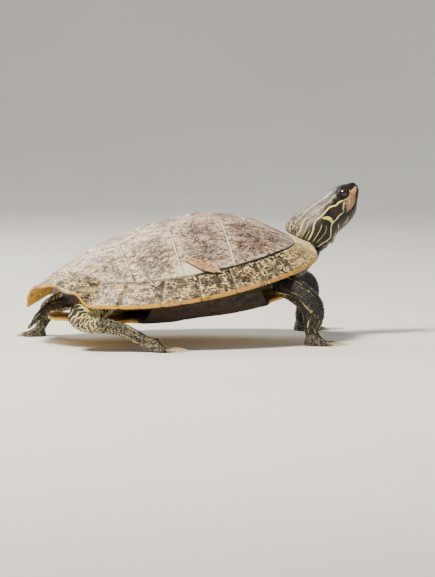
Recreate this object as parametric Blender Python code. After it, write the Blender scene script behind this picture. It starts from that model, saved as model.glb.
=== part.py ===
"""Red-eared slider turtle, life size, basking with its head and neck raised.

World frame: +X is the way the turtle faces, +Y is its left, +Z is up, and the floor
is z = 0. Lengths are written in millimetres and turned into metres when a mesh is made.

The shell is worked out in a frame of its own, level and centred on the rim, and is then
tilted nose-up and lifted to its place over the floor. A place on the shell is given by
"turn" (0 at the front of the midline, 1 at the rear of it, going round by either side)
and "reach" (0 at the crown, 1 at the rim).
"""
import math

import bmesh
import bpy
import numpy as np
from mathutils import Vector

MM = 0.001
GAP = 0.3                     # air left between two touching bodies
SAME_PLACE = 0.00002          # metres under which two points count as one

# ---- the shell -------------------------------------------------------------------
SHELL_LENGTH = 220.0
SHELL_WIDTH = 0.772 * SHELL_LENGTH
DOME_RISE = 0.217 * SHELL_LENGTH
CROWN_FORWARD = 0.099 * SHELL_LENGTH      # the highest point lies forward of the middle
DOME_FULLNESS = 2.12                      # power of the dome's profile
RIM_SQUARENESS = 0.887                    # 1 is an ellipse, less is boxier
REAR_WIDENING = 0.048
RIM_WAVE = (-0.0256, 0.0255, -0.0053)     # rise of the rim, one, two and three waves round
SHELL_PITCH = math.radians(10.2)          # nose-up
SHELL_LIFT = 43.4                         # middle of the rim over the floor
PLATE_THICKNESS = 3.2
MARGIN_REACH = 0.84                       # where the marginal band starts
RIM_EDGE_THICKNESS = 2.2
MARGIN_UNDERCUT = 8.2                     # the band's underside rises this much inward
MARGIN_LEAST = 2.0                        # and stays at least this much under its top
FRONT_LIP = 0.026                         # how far the front of the rim stands forward
FRONT_LIP_START = 0.04                    # the turn at which that starts to ease away
FRONT_LIP_LENGTH = 0.10
SERRATION = 0.018                         # how far each rear marginal's corner stands out
TOOTHED_FROM = 0.60                       # the turn at which the rim starts to be toothed
TOOTHED_EASE = 0.15
TOOTH_LEAN = 1.6                          # over 1 puts a tooth's tip nearer its rear seam
TOOTH_MEAN = 0.55
PLAN_REACH = 0.8                          # the reach by which a place in plan is located
NORMAL_STEP = 1.5                         # to each side of a place whose slope is measured
SEARCH_STEPS = 30                         # halvings when a turn is looked for

# extra lift of the rim: pairs of turn and millimetres
FRONT_RIGHT = ((0.0, 8.0), (0.03, 5.6), (0.06, 1.6), (0.14, 0.4), (0.24, 0.0))
FRONT_LEFT = ((0.0, 8.0), (0.05, 9.4), (0.10, 8.0), (0.18, 2.5), (0.26, 0.0))
REAR_RIGHT = ((0.765, 0.0), (0.79, 9.0), (0.86, 12.5), (0.93, 9.0), (1.0, 2.5))
REAR_LEFT = ((0.80, 0.0), (0.88, -1.5), (0.95, -8.5), (0.975, -7.5), (1.0, 1.0))
# turns of the seams between the nuchal and the twelve marginals of a side
MARGIN_SEAMS = (0.03, 0.105, 0.18, 0.26, 0.335, 0.415, 0.50, 0.587, 0.684, 0.765, 0.845, 0.925, 1.0)

# stations down the middle, as parts of the shell's length from its front
VERTEBRAL_SEAMS = (0.075, 0.23, 0.42, 0.60, 0.775, 0.93)
VERTEBRAL_CORNERS = (0.15, 0.325, 0.51, 0.685, 0.90)   # where the costal seams meet them
VERTEBRAL_SEAM_HALF = (0.085, 0.088, 0.090, 0.085, 0.062, 0.125)
VERTEBRAL_CORNER_HALF = (0.108, 0.118, 0.120, 0.110, 0.128)
COSTAL_TOP = (0.075, 0.325, 0.51, 0.685, 0.93)
COSTAL_FOOT_TURNS = (0.092, 0.395, 0.537, 0.668, 0.878)
SEAM_REACH = 0.003                        # half the gap between costals and rim, as reach
SEAM_TURN = 0.0014                        # the gap beside the nuchal, as turn
TAIL_TURN = 0.0009                        # half the gap at the rear midline, as turn
PLATE_COLUMNS = 7
BAND_REACHES = (0.89, 0.94, 1.0)          # of the marginal band's section on top
UNDER_SHARES = (0.0, 0.45, 1.0)           # of it underneath, from the lip inward
BAND_STEPS = 4                            # rings to each marginal plate

# ---- the plastron ----------------------------------------------------------------
PLASTRON_THICKNESS = 3.4
PLASTRON_DEPTH = ((0.06, 19.0), (0.16, 23.0), (0.35, 24.0), (0.55, 21.5), (0.75, 17.0), (0.93, 8.5))
PLASTRON_HALF = ((0.065, 0.085), (0.09, 0.135), (0.16, 0.18), (0.24, 0.215), (0.30, 0.23),
                 (0.70, 0.190), (0.78, 0.178), (0.85, 0.155), (0.90, 0.112), (0.932, 0.05))
BRIDGE_SPAN = (0.285, 0.64)               # stations between which the bridges reach the rim
BRIDGE_FLARE = (0.215, 0.715)             # stations at which they start to leave the lobes
BRIDGE_START = 0.26                       # half width at which the bridge turns up
BRIDGE_REACH = 0.90                       # reach at which the bridge meets the rim
BRIDGE_CURVE = 1.5                        # over 1 curves the bridge upward
PLASTRON_SHARES = (0.24, 0.48, 0.68, 0.76, 0.84, 0.92, 1.0)   # columns, as parts of its half width
PLASTRON_ROWS = 6                         # between each two of its main stations
SLOPE_STEP = 0.5

# ---- the trunk inside the shell --------------------------------------------------
TRUNK_REACH = 0.795
TRUNK_REACHES = (0.25, 0.5, 0.68, TRUNK_REACH)
TRUNK_POINTS = 32
TRUNK_ROUNDING = 7.6                      # the belly's edge rises this much
TRUNK_CLEARANCE = 2.0                     # over the plastron, enough for both bodies' flat facets

COLOURS = {
    "scute": (0.30, 0.25, 0.19),
    "rim": (0.42, 0.33, 0.20),
    "plastron": (0.72, 0.55, 0.20),
    "skin": (0.09, 0.09, 0.06),
    "horn": (0.55, 0.36, 0.22),
    "claw": (0.45, 0.40, 0.30),
    "eye": (0.05, 0.05, 0.03),
}
ROUGHNESS = {"scute": 0.55, "rim": 0.5, "plastron": 0.45, "skin": 0.5, "horn": 0.4, "claw": 0.35, "eye": 0.1}


# ---- small tools -----------------------------------------------------------------
def smooth(value):
    """Return an eased 0 to 1 ramp of a value that is clipped to that range."""
    value = min(max(value, 0.0), 1.0)
    return value * value * (3.0 - 2.0 * value)


def eased(pairs, at):
    """Read a smooth curve through (place, value) pairs, flat past both ends."""
    if at <= pairs[0][0]:
        return pairs[0][1]
    for (start, low), (end, high) in zip(pairs, pairs[1:]):
        if at <= end:
            return low + (high - low) * smooth((at - start) / (end - start))
    return pairs[-1][1]


def straight(pairs, at):
    """Read straight lines through (place, value) pairs."""
    return float(np.interp(at, [pair[0] for pair in pairs], [pair[1] for pair in pairs]))


def material(kind):
    """Return the material of that name, made once."""
    found = bpy.data.materials.get(kind)
    if found:
        return found
    made = bpy.data.materials.new(kind)
    made.use_nodes = True
    shader = made.node_tree.nodes["Principled BSDF"]
    shader.inputs["Base Color"].default_value = (*COLOURS[kind], 1.0)
    shader.inputs["Roughness"].default_value = ROUGHNESS[kind]
    shader.inputs["Metallic"].default_value = 0.0
    return made


def new_object(name, points, faces, kind):
    """Make one closed body from points in millimetres, with its faces turned outward."""
    mesh = bpy.data.meshes.new(name)
    mesh.from_pydata([tuple(float(v) * MM for v in point) for point in points], [], faces)
    body = bmesh.new()
    body.from_mesh(mesh)
    bmesh.ops.recalc_face_normals(body, faces=body.faces)
    body.to_mesh(mesh)
    body.free()
    mesh.materials.append(material(kind))
    mesh.shade_smooth()
    made = bpy.data.objects.new(name, mesh)
    bpy.context.scene.collection.objects.link(made)
    return made


def sheet_body(name, top, bottom, kind):
    """Close two grids of points, a top and a bottom sheet, into one solid plate."""
    rows = len(top)
    columns = len(top[0])
    points = [point for row in top for point in row] + [point for row in bottom for point in row]
    under = rows * columns
    faces = []
    for row in range(rows - 1):
        for column in range(columns - 1):
            first = row * columns + column
            quad = (first, first + 1, first + columns + 1, first + columns)
            faces.append(quad)
            faces.append(tuple(corner + under for corner in reversed(quad)))
    border = list(range(columns - 1))
    border += [row * columns + columns - 1 for row in range(rows - 1)]
    border += [(rows - 1) * columns + column for column in range(columns - 1, 0, -1)]
    border += [row * columns for row in range(rows - 1, 0, -1)]
    for here, there in zip(border, border[1:] + border[:1]):
        faces.append((there, here, here + under, there + under))
    return new_object(name, points, faces, kind)


def loft_body(name, rings, kind):
    """Close a list of rings, all with the same number of points, into one solid."""
    count = len(rings[0])
    points = [point for ring in rings for point in ring]
    faces = []
    for level in range(len(rings) - 1):
        for step in range(count):
            first = level * count + step
            second = level * count + (step + 1) % count
            faces.append((first, second, second + count, first + count))
    for level, ring in ((0, rings[0]), (len(rings) - 1, rings[-1])):
        middle = len(points)
        points.append(np.mean(np.array(ring), axis=0))
        for step in range(count):
            faces.append((middle, level * count + step, level * count + (step + 1) % count))
    return new_object(name, points, faces, kind)


# ---- the shell's shape -----------------------------------------------------------
def rim_lift(turn, side):
    """Return the extra lift of the rim at a turn, side -1 for right and 1 for left."""
    front, rear = (FRONT_RIGHT, REAR_RIGHT) if side < 0 else (FRONT_LEFT, REAR_LEFT)
    return eased(front, turn) if turn < 0.5 else eased(rear, turn)


def rim_scale(turn):
    """Return how far the rim stands out: a lip in front, toothed behind."""
    if turn < TOOTHED_FROM:
        return 1.0 + FRONT_LIP * (1.0 - smooth((turn - FRONT_LIP_START) / FRONT_LIP_LENGTH))
    for start, end in zip(MARGIN_SEAMS, MARGIN_SEAMS[1:]):
        if start <= turn <= end:
            along = (turn - start) / (end - start)
            tooth = math.sin(math.pi * along ** TOOTH_LEAN) - TOOTH_MEAN
            return 1.0 + SERRATION * tooth * smooth((turn - TOOTHED_FROM) / TOOTHED_EASE)
    return 1.0


def shell_point(reach, turn, side):
    """Return a point on the carapace's upper face in the shell's frame."""
    angle = math.pi * turn
    out = rim_scale(turn)
    rim_x = 0.5 * SHELL_LENGTH * math.cos(angle)
    rim_y = 0.5 * SHELL_WIDTH * abs(math.sin(angle)) ** RIM_SQUARENESS
    rim_y *= 1.0 - REAR_WIDENING * math.cos(angle)
    wave = sum(share * math.cos((order + 1) * angle) for order, share in enumerate(RIM_WAVE))
    spread = reach
    if reach > MARGIN_REACH:
        spread = reach * (1.0 + (out - 1.0) * (reach - MARGIN_REACH) / (1.0 - MARGIN_REACH))
    x = CROWN_FORWARD + (rim_x - CROWN_FORWARD) * spread
    y = side * rim_y * spread
    z = wave * SHELL_LENGTH * reach ** 2 + rim_lift(turn, side) * reach ** 5
    z += DOME_RISE * max(0.0, 1.0 - reach ** DOME_FULLNESS)
    return np.array((x, y, z))


def margin_curve_turn(x, side):
    """Return the turn at which the inner edge of the marginal band has this x."""
    low, high = 0.0, 1.0
    for _ in range(SEARCH_STEPS):
        middle = 0.5 * (low + high)
        if shell_point(MARGIN_REACH, middle, side)[0] > x:
            low = middle
        else:
            high = middle
    return 0.5 * (low + high)


def dome_height(x, y):
    """Return the height of the carapace over a place in plan, in the shell's frame."""
    side = -1 if y < 0 else 1
    bearing = math.atan2(abs(y), x - CROWN_FORWARD)
    low, high = 0.0, 1.0
    for _ in range(SEARCH_STEPS):
        middle = 0.5 * (low + high)
        edge = shell_point(PLAN_REACH, middle, side)
        if math.atan2(abs(edge[1]), edge[0] - CROWN_FORWARD) < bearing:
            low = middle
        else:
            high = middle
    turn = 0.5 * (low + high)
    edge = shell_point(PLAN_REACH, turn, side)
    reach = PLAN_REACH * math.hypot(x - CROWN_FORWARD, y) / math.hypot(edge[0] - CROWN_FORWARD, edge[1])
    return shell_point(min(reach, 1.0), turn, side)[2]


def dome_normal(x, y):
    """Return the outward normal of the carapace over a place in plan."""
    step = NORMAL_STEP
    slope_x = (dome_height(x + step, y) - dome_height(x - step, y)) / (2.0 * step)
    slope_y = (dome_height(x, y + step) - dome_height(x, y - step)) / (2.0 * step)
    normal = np.array((-slope_x, -slope_y, 1.0))
    return normal / np.linalg.norm(normal)


def to_world(point):
    """Tilt and lift a point from the shell's frame to the world, in millimetres."""
    cos, sin = math.cos(SHELL_PITCH), math.sin(SHELL_PITCH)
    x, y, z = point
    return np.array((x * cos - z * sin, y, x * sin + z * cos + SHELL_LIFT))


def along_shell(station):
    """Turn a part of the shell's length from its front into x in the shell's frame."""
    return SHELL_LENGTH * (0.5 - station)


def plate(name, plan):
    """Make one shell plate from a grid of plan positions that it covers."""
    top = []
    bottom = []
    for row in plan:
        top_row = []
        bottom_row = []
        for x, y in row:
            face = np.array((x, y, dome_height(x, y)))
            top_row.append(to_world(face))
            bottom_row.append(to_world(face - PLATE_THICKNESS * dome_normal(x, y)))
        top.append(top_row)
        bottom.append(bottom_row)
    return sheet_body(name, top, bottom, "scute")


# ---- the carapace's plates -------------------------------------------------------
def vertebral_half(station):
    """Return the half width of the row of vertebral plates at a station."""
    places = []
    for index, seam in enumerate(VERTEBRAL_SEAMS):
        places.append((seam, VERTEBRAL_SEAM_HALF[index]))
        if index < len(VERTEBRAL_CORNERS):
            places.append((VERTEBRAL_CORNERS[index], VERTEBRAL_CORNER_HALF[index]))
    return SHELL_LENGTH * straight(places, station)


def band_limit(y, rear):
    """Return the station at which the marginal band's inner edge crosses a given y."""
    low, high = (0.5, 1.0) if rear else (0.0, 0.5)
    for _ in range(SEARCH_STEPS):
        middle = 0.5 * (low + high)
        inside = abs(shell_point(MARGIN_REACH, middle, -1)[1]) > abs(y)
        if inside == rear:
            low = middle
        else:
            high = middle
    return 0.5 - shell_point(MARGIN_REACH, 0.5 * (low + high), -1)[0] / SHELL_LENGTH


def back_place(station, y):
    """Return x for a station of the vertebral row, whose two ends follow the marginal band."""
    first, second = VERTEBRAL_SEAMS[0], VERTEBRAL_SEAMS[1]
    last, end = VERTEBRAL_SEAMS[-2], VERTEBRAL_SEAMS[-1]
    if station < second:
        front = band_limit(y, False)
        station = front + (station - first) / (second - first) * (second - front)
    elif station > last:
        rear = band_limit(y, True)
        station = last + (station - last) / (end - last) * (rear - last)
    return along_shell(station)


def vertebral_stations(index):
    """Return the stations of a vertebral plate's rows, closest at its seams and corners."""
    start, end = VERTEBRAL_SEAMS[index], VERTEBRAL_SEAMS[index + 1]
    corner = VERTEBRAL_CORNERS[index]
    return list(np.linspace(start, corner, BAND_STEPS)) + list(np.linspace(corner, end, BAND_STEPS))[1:]


def vertebral_plates():
    """Make the five plates down the middle of the back."""
    gap = 0.5 * GAP
    for index in range(5):
        stations = vertebral_stations(index)
        plan = []
        for station in stations:
            row = []
            half = vertebral_half(station) - gap
            for share in np.linspace(-1.0, 1.0, PLATE_COLUMNS):
                y = half * share
                x = back_place(station, y)
                if station == stations[0]:
                    x -= gap
                if station == stations[-1]:
                    x += gap
                row.append((x, y))
            plan.append(row)
        plate(f"vertebral_{index + 1}", plan)


def costal_plates():
    """Make the four large plates on each flank; their upper edges share the vertebrals' corners."""
    every = sorted({round(float(station), 6) for index in range(5) for station in vertebral_stations(index)})
    for side, word in ((1, "left"), (-1, "right")):
        for index in range(4):
            begin, finish = COSTAL_TOP[index], COSTAL_TOP[index + 1]
            plan = []
            for station in [place for place in every if begin - 1e-5 <= place <= finish + 1e-5]:
                along = (station - begin) / (finish - begin)
                turn = COSTAL_FOOT_TURNS[index] * (1.0 - along) + COSTAL_FOOT_TURNS[index + 1] * along
                half = vertebral_half(station) + 0.5 * GAP
                head_place = np.array((back_place(station, half), side * half))
                foot_place = shell_point(MARGIN_REACH - SEAM_REACH, turn, side)[:2]
                way = foot_place - head_place
                plan.append([head_place + way * down for down in np.linspace(0.0, 1.0, PLATE_COLUMNS)])
            for first, second in ((plan[0], plan[1]), (plan[-1], plan[-2])):
                for place, inner in zip(first, second):
                    step = inner - place
                    place += 0.5 * GAP * step / np.linalg.norm(step)
            plate(f"costal_{word}_{index + 1}", plan)


def band_under_height(turn, side, share):
    """Return the height of the marginal band's underside at a share of its width from the lip."""
    slope = shell_point(1.0, turn, side)[2] - RIM_EDGE_THICKNESS + MARGIN_UNDERCUT * share
    top = shell_point(1.0 - share * (1.0 - MARGIN_REACH), turn, side)[2]
    return min(slope, top - MARGIN_LEAST)


def margin_ring(turn, side):
    """Return the marginal band's cross-section at a turn, in the world."""
    reaches = (MARGIN_REACH + SEAM_REACH, *BAND_REACHES)
    ring = [shell_point(reach, turn, side) for reach in reaches]
    edge = ring[-1]
    inner = ring[0]
    for share in UNDER_SHARES:
        under = edge + (inner - edge) * share
        under[2] = band_under_height(turn, side, share)
        ring.append(under)
    return [to_world(point) for point in ring]


def margin_band():
    """Make the nuchal plate and the two bands of marginal plates round the rim."""
    first = MARGIN_SEAMS[0]
    nuchal_turns = np.linspace(-first, first, 5)
    loft_body("nuchal", [margin_ring(abs(turn), math.copysign(1, turn)) for turn in nuchal_turns], "rim")
    for side, word in ((1, "left"), (-1, "right")):
        rings = []
        for start, end in zip(MARGIN_SEAMS, MARGIN_SEAMS[1:]):
            for turn in np.linspace(start, end, BAND_STEPS)[:-1]:
                rings.append(margin_ring(turn + (0.0 if rings else SEAM_TURN), side))
        rings.append(margin_ring(1.0 - TAIL_TURN, side))
        for point in rings[-1]:
            point[1] = side * max(abs(point[1]), 0.5 * GAP)
        loft_body(f"marginals_{word}", rings, "rim")


# ---- the plastron and the trunk --------------------------------------------------
def band_under(turn, side, reach):
    """Return the place of the marginal band's underside, in the shell's frame."""
    edge = shell_point(1.0, turn, side)
    inner = shell_point(MARGIN_REACH, turn, side)
    share = (1.0 - reach) / (1.0 - MARGIN_REACH)
    place = edge + (inner - edge) * share
    place[2] = band_under_height(turn, side, share)
    return place


def bridge_rim(station, side):
    """Return the top of the bridge where it meets the marginal band."""
    turn = margin_curve_turn(along_shell(station), side)
    place = band_under(turn, side, BRIDGE_REACH)
    place[2] -= 2.0 * GAP
    return place


def plastron_face(station, y):
    """Return the height of the plastron's upper face, in the shell's frame."""
    flat = PLASTRON_THICKNESS - eased(PLASTRON_DEPTH, station)
    start = BRIDGE_START * SHELL_LENGTH
    side = -1 if y < 0 else 1
    rim = bridge_rim(min(max(station, BRIDGE_SPAN[0]), BRIDGE_SPAN[1]), side)
    climb = min(max((abs(y) - start) / (abs(rim[1]) - start), 0.0), 1.0)
    return flat + (rim[2] - flat) * climb ** BRIDGE_CURVE


def plastron_half(station):
    """Return the belly plate's half width, which flares from its lobes to the bridges."""
    lobe = SHELL_LENGTH * straight(PLASTRON_HALF, station)
    rim = abs(bridge_rim(min(max(station, BRIDGE_SPAN[0]), BRIDGE_SPAN[1]), -1)[1])
    ahead = smooth((station - BRIDGE_FLARE[0]) / (BRIDGE_SPAN[0] - BRIDGE_FLARE[0]))
    behind = smooth((BRIDGE_FLARE[1] - station) / (BRIDGE_FLARE[1] - BRIDGE_SPAN[1]))
    return lobe + (rim - lobe) * min(ahead, behind)


def plastron():
    """Make the belly plate with its two bridges."""
    front, rear = PLASTRON_HALF[0][0], PLASTRON_HALF[-1][0]
    marks = (front, BRIDGE_FLARE[0], *BRIDGE_SPAN, BRIDGE_FLARE[1], rear)
    stations = [front]
    for start, end in zip(marks, marks[1:]):
        stations += list(np.linspace(start, end, PLASTRON_ROWS))[1:]
    shares = [-share for share in reversed(PLASTRON_SHARES)] + [0.0, *PLASTRON_SHARES]
    top = []
    bottom = []
    for station in stations:
        half = plastron_half(station)
        top_row = []
        bottom_row = []
        for share in shares:
            y = half * share
            face = np.array((along_shell(station), y, plastron_face(station, y)))
            rise = plastron_face(station, y + SLOPE_STEP) - plastron_face(station, y - SLOPE_STEP)
            slope = rise / (2.0 * SLOPE_STEP)
            normal = np.array((0.0, -slope, 1.0)) / math.hypot(1.0, slope)
            top_row.append(to_world(face))
            bottom_row.append(to_world(face - PLASTRON_THICKNESS * normal))
        top.append(top_row)
        bottom.append(bottom_row)
    sheet_body("plastron", top, bottom, "plastron")


def trunk(root_planes):
    """Make the body inside the shell, with a flat face for each limb to start from."""
    turns = [(abs(value), math.copysign(1, value)) for value in np.linspace(-1.0, 1.0, TRUNK_POINTS + 1)[:-1]]
    rings = []
    for reach in TRUNK_REACHES:
        ring = []
        for turn, side in turns:
            face = shell_point(reach, turn, side)
            face = face - (PLATE_THICKNESS + TRUNK_CLEARANCE) * dome_normal(face[0], face[1])
            ring.append(to_world(face))
        rings.append(ring)
    for reach in reversed(TRUNK_REACHES):
        ring = []
        for turn, side in turns:
            face = shell_point(reach, turn, side)
            station = 0.5 - face[0] / SHELL_LENGTH
            face[2] = plastron_face(station, face[1]) + TRUNK_CLEARANCE
            face[2] += TRUNK_ROUNDING * (reach / TRUNK_REACH) ** 4
            ring.append(to_world(face))
        rings.append(ring)
    body = loft_body("trunk", rings, "skin")
    shape = bmesh.new()
    shape.from_mesh(body.data)
    for place, normal in root_planes:
        place = (np.array(place) - GAP * np.array(normal)) * MM
        geometry = list(shape.verts) + list(shape.edges) + list(shape.faces)
        bmesh.ops.bisect_plane(shape, geom=geometry, dist=SAME_PLACE, plane_co=Vector(place),
                               plane_no=Vector(normal), clear_outer=True)
        open_edges = [edge for edge in shape.edges if edge.is_boundary]
        bmesh.ops.holes_fill(shape, edges=open_edges, sides=0)
    bmesh.ops.recalc_face_normals(shape, faces=shape.faces)
    shape.to_mesh(body.data)
    shape.free()


# ---- limbs, neck and tail --------------------------------------------------------
def unit(vector):
    """Return a vector of length one."""
    vector = np.array(vector, dtype=float)
    return vector / np.linalg.norm(vector)


def tangents(places):
    """Return the direction of a path at each of its places."""
    found = []
    for index in range(len(places)):
        before = places[max(index - 1, 0)]
        after = places[min(index + 1, len(places) - 1)]
        found.append(unit(after - before))
    return found


def densify(stations, steps):
    """Return more stations along a smooth curve through the given ones (Catmull-Rom)."""
    rows = [np.array(row, dtype=float) for row in stations]
    padded = [2.0 * rows[0] - rows[1]] + rows + [2.0 * rows[-1] - rows[-2]]
    dense = []
    for index in range(1, len(rows)):
        a, b, c, d = padded[index - 1:index + 3]
        for step in range(steps):
            t = step / steps
            dense.append(0.5 * (2.0 * b + (c - a) * t + (2.0 * a - 5.0 * b + 4.0 * c - d) * t * t
                                + (3.0 * b - a - 3.0 * c + d) * t ** 3))
    dense.append(rows[-1])
    return dense


def section(place, direction, across, half_across, half_other, count):
    """Return a ring of points, an oval across a path."""
    across = unit(across - np.dot(across, direction) * direction)
    other = np.cross(direction, across)
    ring = []
    for step in range(count):
        angle = 2.0 * math.pi * step / count
        wide = math.cos(angle) * half_across
        tall = math.sin(angle) * half_other
        ring.append(place + across * wide + other * tall)
    return ring


def limb_rings(stations, across, count):
    """Return rings along a limb: stations are x, y, z, half width across, other half."""
    dense = densify(stations, LIMB_STEPS)
    ways = tangents([row[:3] for row in dense])
    rings = []
    for row, way in zip(dense, ways):
        rings.append(section(row[:3], way, np.array(across), row[3], row[4], count))
    return rings, ways


def split_limb(names, stations, joint, across, end_way):
    """Make a limb as two bodies that meet at a station with the usual gap between them.

    The last ring faces the end way, so that the foot's flat top or back lies along it.
    """
    rings, ways = limb_rings(stations, across, LIMB_POINTS)
    end = np.array(stations[-1], dtype=float)
    rings[-1] = section(end[:3], unit(end_way), np.array(across), end[3], end[4], LIMB_POINTS)
    at = joint * LIMB_STEPS
    back = [point - 0.5 * GAP * ways[at] for point in rings[at]]
    fore = [point + 0.5 * GAP * ways[at] for point in rings[at]]
    loft_body(names[0], rings[:at] + [back], "skin")
    loft_body(names[1], [fore] + rings[at + 1:], "skin")


# stations of the limbs: x, y, z, half the width across, half the other way; across is level,
# except on the right hind leg, where it is upright
RIGHT_FORELEG = (
    (71.5, -46.0, 44.6, 9.0, 8.6), (79.5, -55.5, 40.4, 9.0, 9.0), (86.5, -60.5, 35.0, 9.0, 9.4),
    (91.0, -62.0, 28.0, 8.6, 9.0), (91.8, -62.0, 21.0, 8.0, 8.2), (90.8, -62.0, 14.5, 7.0, 6.6),
    (90.8, -62.0, 9.3, 6.2, 5.6))
LEFT_FORELEG = (
    (75.0, 43.5, 46.3, 9.0, 8.4), (91.0, 50.0, 42.3, 8.8, 8.4), (108.0, 55.5, 41.0, 8.2, 8.6),
    (120.5, 59.0, 38.0, 7.8, 8.0), (124.0, 61.0, 28.0, 7.2, 7.6), (119.5, 62.0, 16.5, 6.6, 6.2),
    (118.0, 62.5, 9.3, 6.2, 5.6))
RIGHT_HINDLEG = (
    (-59.0, -40.0, 31.2, 8.0, 9.6), (-71.0, -48.5, 30.0, 9.6, 10.2), (-81.5, -54.6, 25.2, 8.2, 9.8),
    (-80.0, -62.6, 20.0, 6.4, 8.4), (-69.0, -69.5, 19.2, 5.9, 7.2), (-57.0, -72.5, 16.8, 5.3, 6.5),
    (-46.0, -75.5, 11.6, 4.8, 6.0), (-36.5, -78.5, 6.2, 4.3, 5.8))
LEFT_HINDLEG = (
    (-66.0, 37.0, 30.0, 9.4, 7.6), (-74.5, 46.0, 27.4, 9.0, 7.6), (-80.0, 54.0, 23.6, 8.4, 7.0),
    (-81.5, 60.0, 21.0, 7.6, 6.6), (-83.0, 63.0, 16.0, 7.2, 5.4), (-85.0, 64.8, 11.0, 7.4, 4.6),
    (-86.5, 65.5, 7.3, 7.2, 4.2))
LIMB_STEPS = 2                            # rings to each station of a limb
KNEE_STATION = 3                          # where a leg's upper body meets its lower one
TOE_TOP = 3.4
TOE_SPREAD = math.radians(26.0)
TOE_ROWS = (0.2, 0.42, 0.62, 0.82, 1.0)   # from the ankle to the toe tips
OUTER_TOE_SHORT = 0.20                    # how much shorter the outermost toe is
WEB_SHORT = 0.20                          # how far the web lies behind the toe tips
WEB_DIP = 0.38                            # how much lower the web is than the toes
FOOT_EDGE_DIP = 0.42                      # how much lower the foot's two edges are
HEEL_NARROWING = 0.78                     # of its half width, as a share of its square
INSTEP_START, INSTEP_LENGTH = 0.32, 0.5   # where the foot thins from ankle to toes
SOLE_LANDING = 0.4                        # by which share of its reach the sole is on the floor
TOE_WIDENING = 1.2                        # over 1 reaches the full width before the tips
WEB_EASE = 1.3                            # over 1 thins the web before the tips
CLAW_LEVELS = 4
CLAW_RADIUS = 1.45
CLAW_TIP_RADIUS = 0.25
CLAW_TAPER = 0.7
CLAW_ARCH = 0.6
CLAW_FLOOR_AIR = 0.12
CLAW_NARROWNESS = 0.8
CLAW_POINTS = 6
RIGHT_FORE_HEADING = math.radians(-8.0)   # the way each foot points, left of forward
LEFT_FORE_HEADING = math.radians(10.0)
RIGHT_HIND_HEADING = math.radians(-18.0)
LEFT_HIND_HEADING = math.radians(160.0)
FORE_TOES, HIND_TOES = 5, 4
FORE_CLAW, RIGHT_HIND_CLAW, LEFT_HIND_CLAW = 7.0, 12.5, 6.0
# heel, reach, ankle top, ankle half width, ankle underside, half width at the toes
FOREFOOT = (5.5, 14.5, 9.0, 6.4, 0.0, 9.5)
RIGHT_HINDFOOT = (0.0, 17.0, 10.2, 6.2, 2.2, 10.5)
LEFT_HINDFOOT = (4.0, 13.0, 7.0, 7.4, 0.0, 10.5)
TAIL = ((-83.0, 1.0, 30.6, 5.2, 4.4), (-92.0, 2.5, 28.0, 4.4, 3.8), (-100.0, 4.0, 21.5, 3.4, 3.0),
        (-105.0, 5.0, 15.5, 2.2, 1.9), (-109.0, 6.0, 11.0, 1.1, 1.0))
# rings of the neck: x, y, z, the way it faces over the level and to the right in degrees,
# half width, half depth
NECK = (
    (90.8, 3.0, 55.6, 5.0, 0.0, 15.0, 10.5), (98.5, 4.0, 54.6, 14.0, 0.0, 12.6, 8.4),
    (104.6, 6.5, 57.8, 30.0, 0.0, 11.4, 6.2), (111.5, 8.5, 62.4, 44.0, 3.0, 11.4, 4.2),
    (114.6, 10.5, 68.1, 48.0, 5.0, 11.8, 4.3), (113.2, 11.5, 70.8, 64.0, 8.0, 13.6, 9.4),
    (107.2, 12.0, 74.2, 69.5, 8.0, 15.4, 17.0), (110.7, 12.0, 79.5, 65.0, 4.0, 16.3, 19.4))


def foot(name, ankle, heading, shape, toe_count, claw_length):
    """Make a webbed foot whose sole is flat on the floor, with its claws.

    The foot's grid runs from the heel to the toe tips and across the toes, thick along
    each toe and thin in the web between. The shape gives, in millimetres, how far the heel
    lies behind the ankle, how far the longest toe reaches before it, the height and half
    width of the ankle, the underside's height there, and the half width at the toes.
    """
    heel, length, ankle_top, ankle_half, ankle_under, toe_half = shape
    columns = toe_count * 2 + 1
    forward = np.array((math.cos(heading), math.sin(heading), 0.0))
    sideways = np.array((-math.sin(heading), math.cos(heading), 0.0))
    rows = [-heel, -0.5 * heel] if heel else []
    rows += [0.0] + [length * share for share in TOE_ROWS]
    top = []
    bottom = []
    for along in rows:
        out = max(along, 0.0) / length
        top_row = []
        bottom_row = []
        for column in range(columns):
            fan = 2.0 * column / (columns - 1) - 1.0
            on_toe = column % 2 == 1
            half = ankle_half + (toe_half - ankle_half) * smooth(out * TOE_WIDENING)
            if along < 0.0:
                half *= math.sqrt(max(1.0 - HEEL_NARROWING * (along / heel) ** 2, 0.0))
            reach = along
            if along > 0.0:
                reach *= 1.0 - OUTER_TOE_SHORT * fan * fan
                reach *= 1.0 if on_toe else 1.0 - WEB_SHORT * out
            place = np.array(ankle) * (1.0, 1.0, 0.0) + forward * reach + sideways * fan * half
            crest = TOE_TOP + (ankle_top - TOE_TOP) * (1.0 - smooth((out - INSTEP_START) / INSTEP_LENGTH))
            dip = 1.0 if on_toe else 1.0 - WEB_DIP * smooth(out * WEB_EASE)
            roundness = 1.0 - FOOT_EDGE_DIP * fan ** 4
            under = ankle_under * (1.0 - smooth(out / SOLE_LANDING))
            top_row.append(np.array((place[0], place[1], under + (crest - under) * dip * roundness)))
            bottom_row.append(np.array((place[0], place[1], under)))
        top.append(top_row)
        bottom.append(bottom_row)
    sheet_body(name, top, bottom, "skin")
    for toe in range(toe_count):
        column = 2 * toe + 1
        fan = 2.0 * column / (columns - 1) - 1.0
        angle = heading + TOE_SPREAD * fan
        way = np.array((math.cos(angle), math.sin(angle), 0.0))
        tip = 0.5 * (top[-1][column] + bottom[-1][column])
        claw(f"{name.replace('_foot', '')}_claw_{toe + 1}", tip + way * 2.0 * GAP, way, claw_length)


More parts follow.
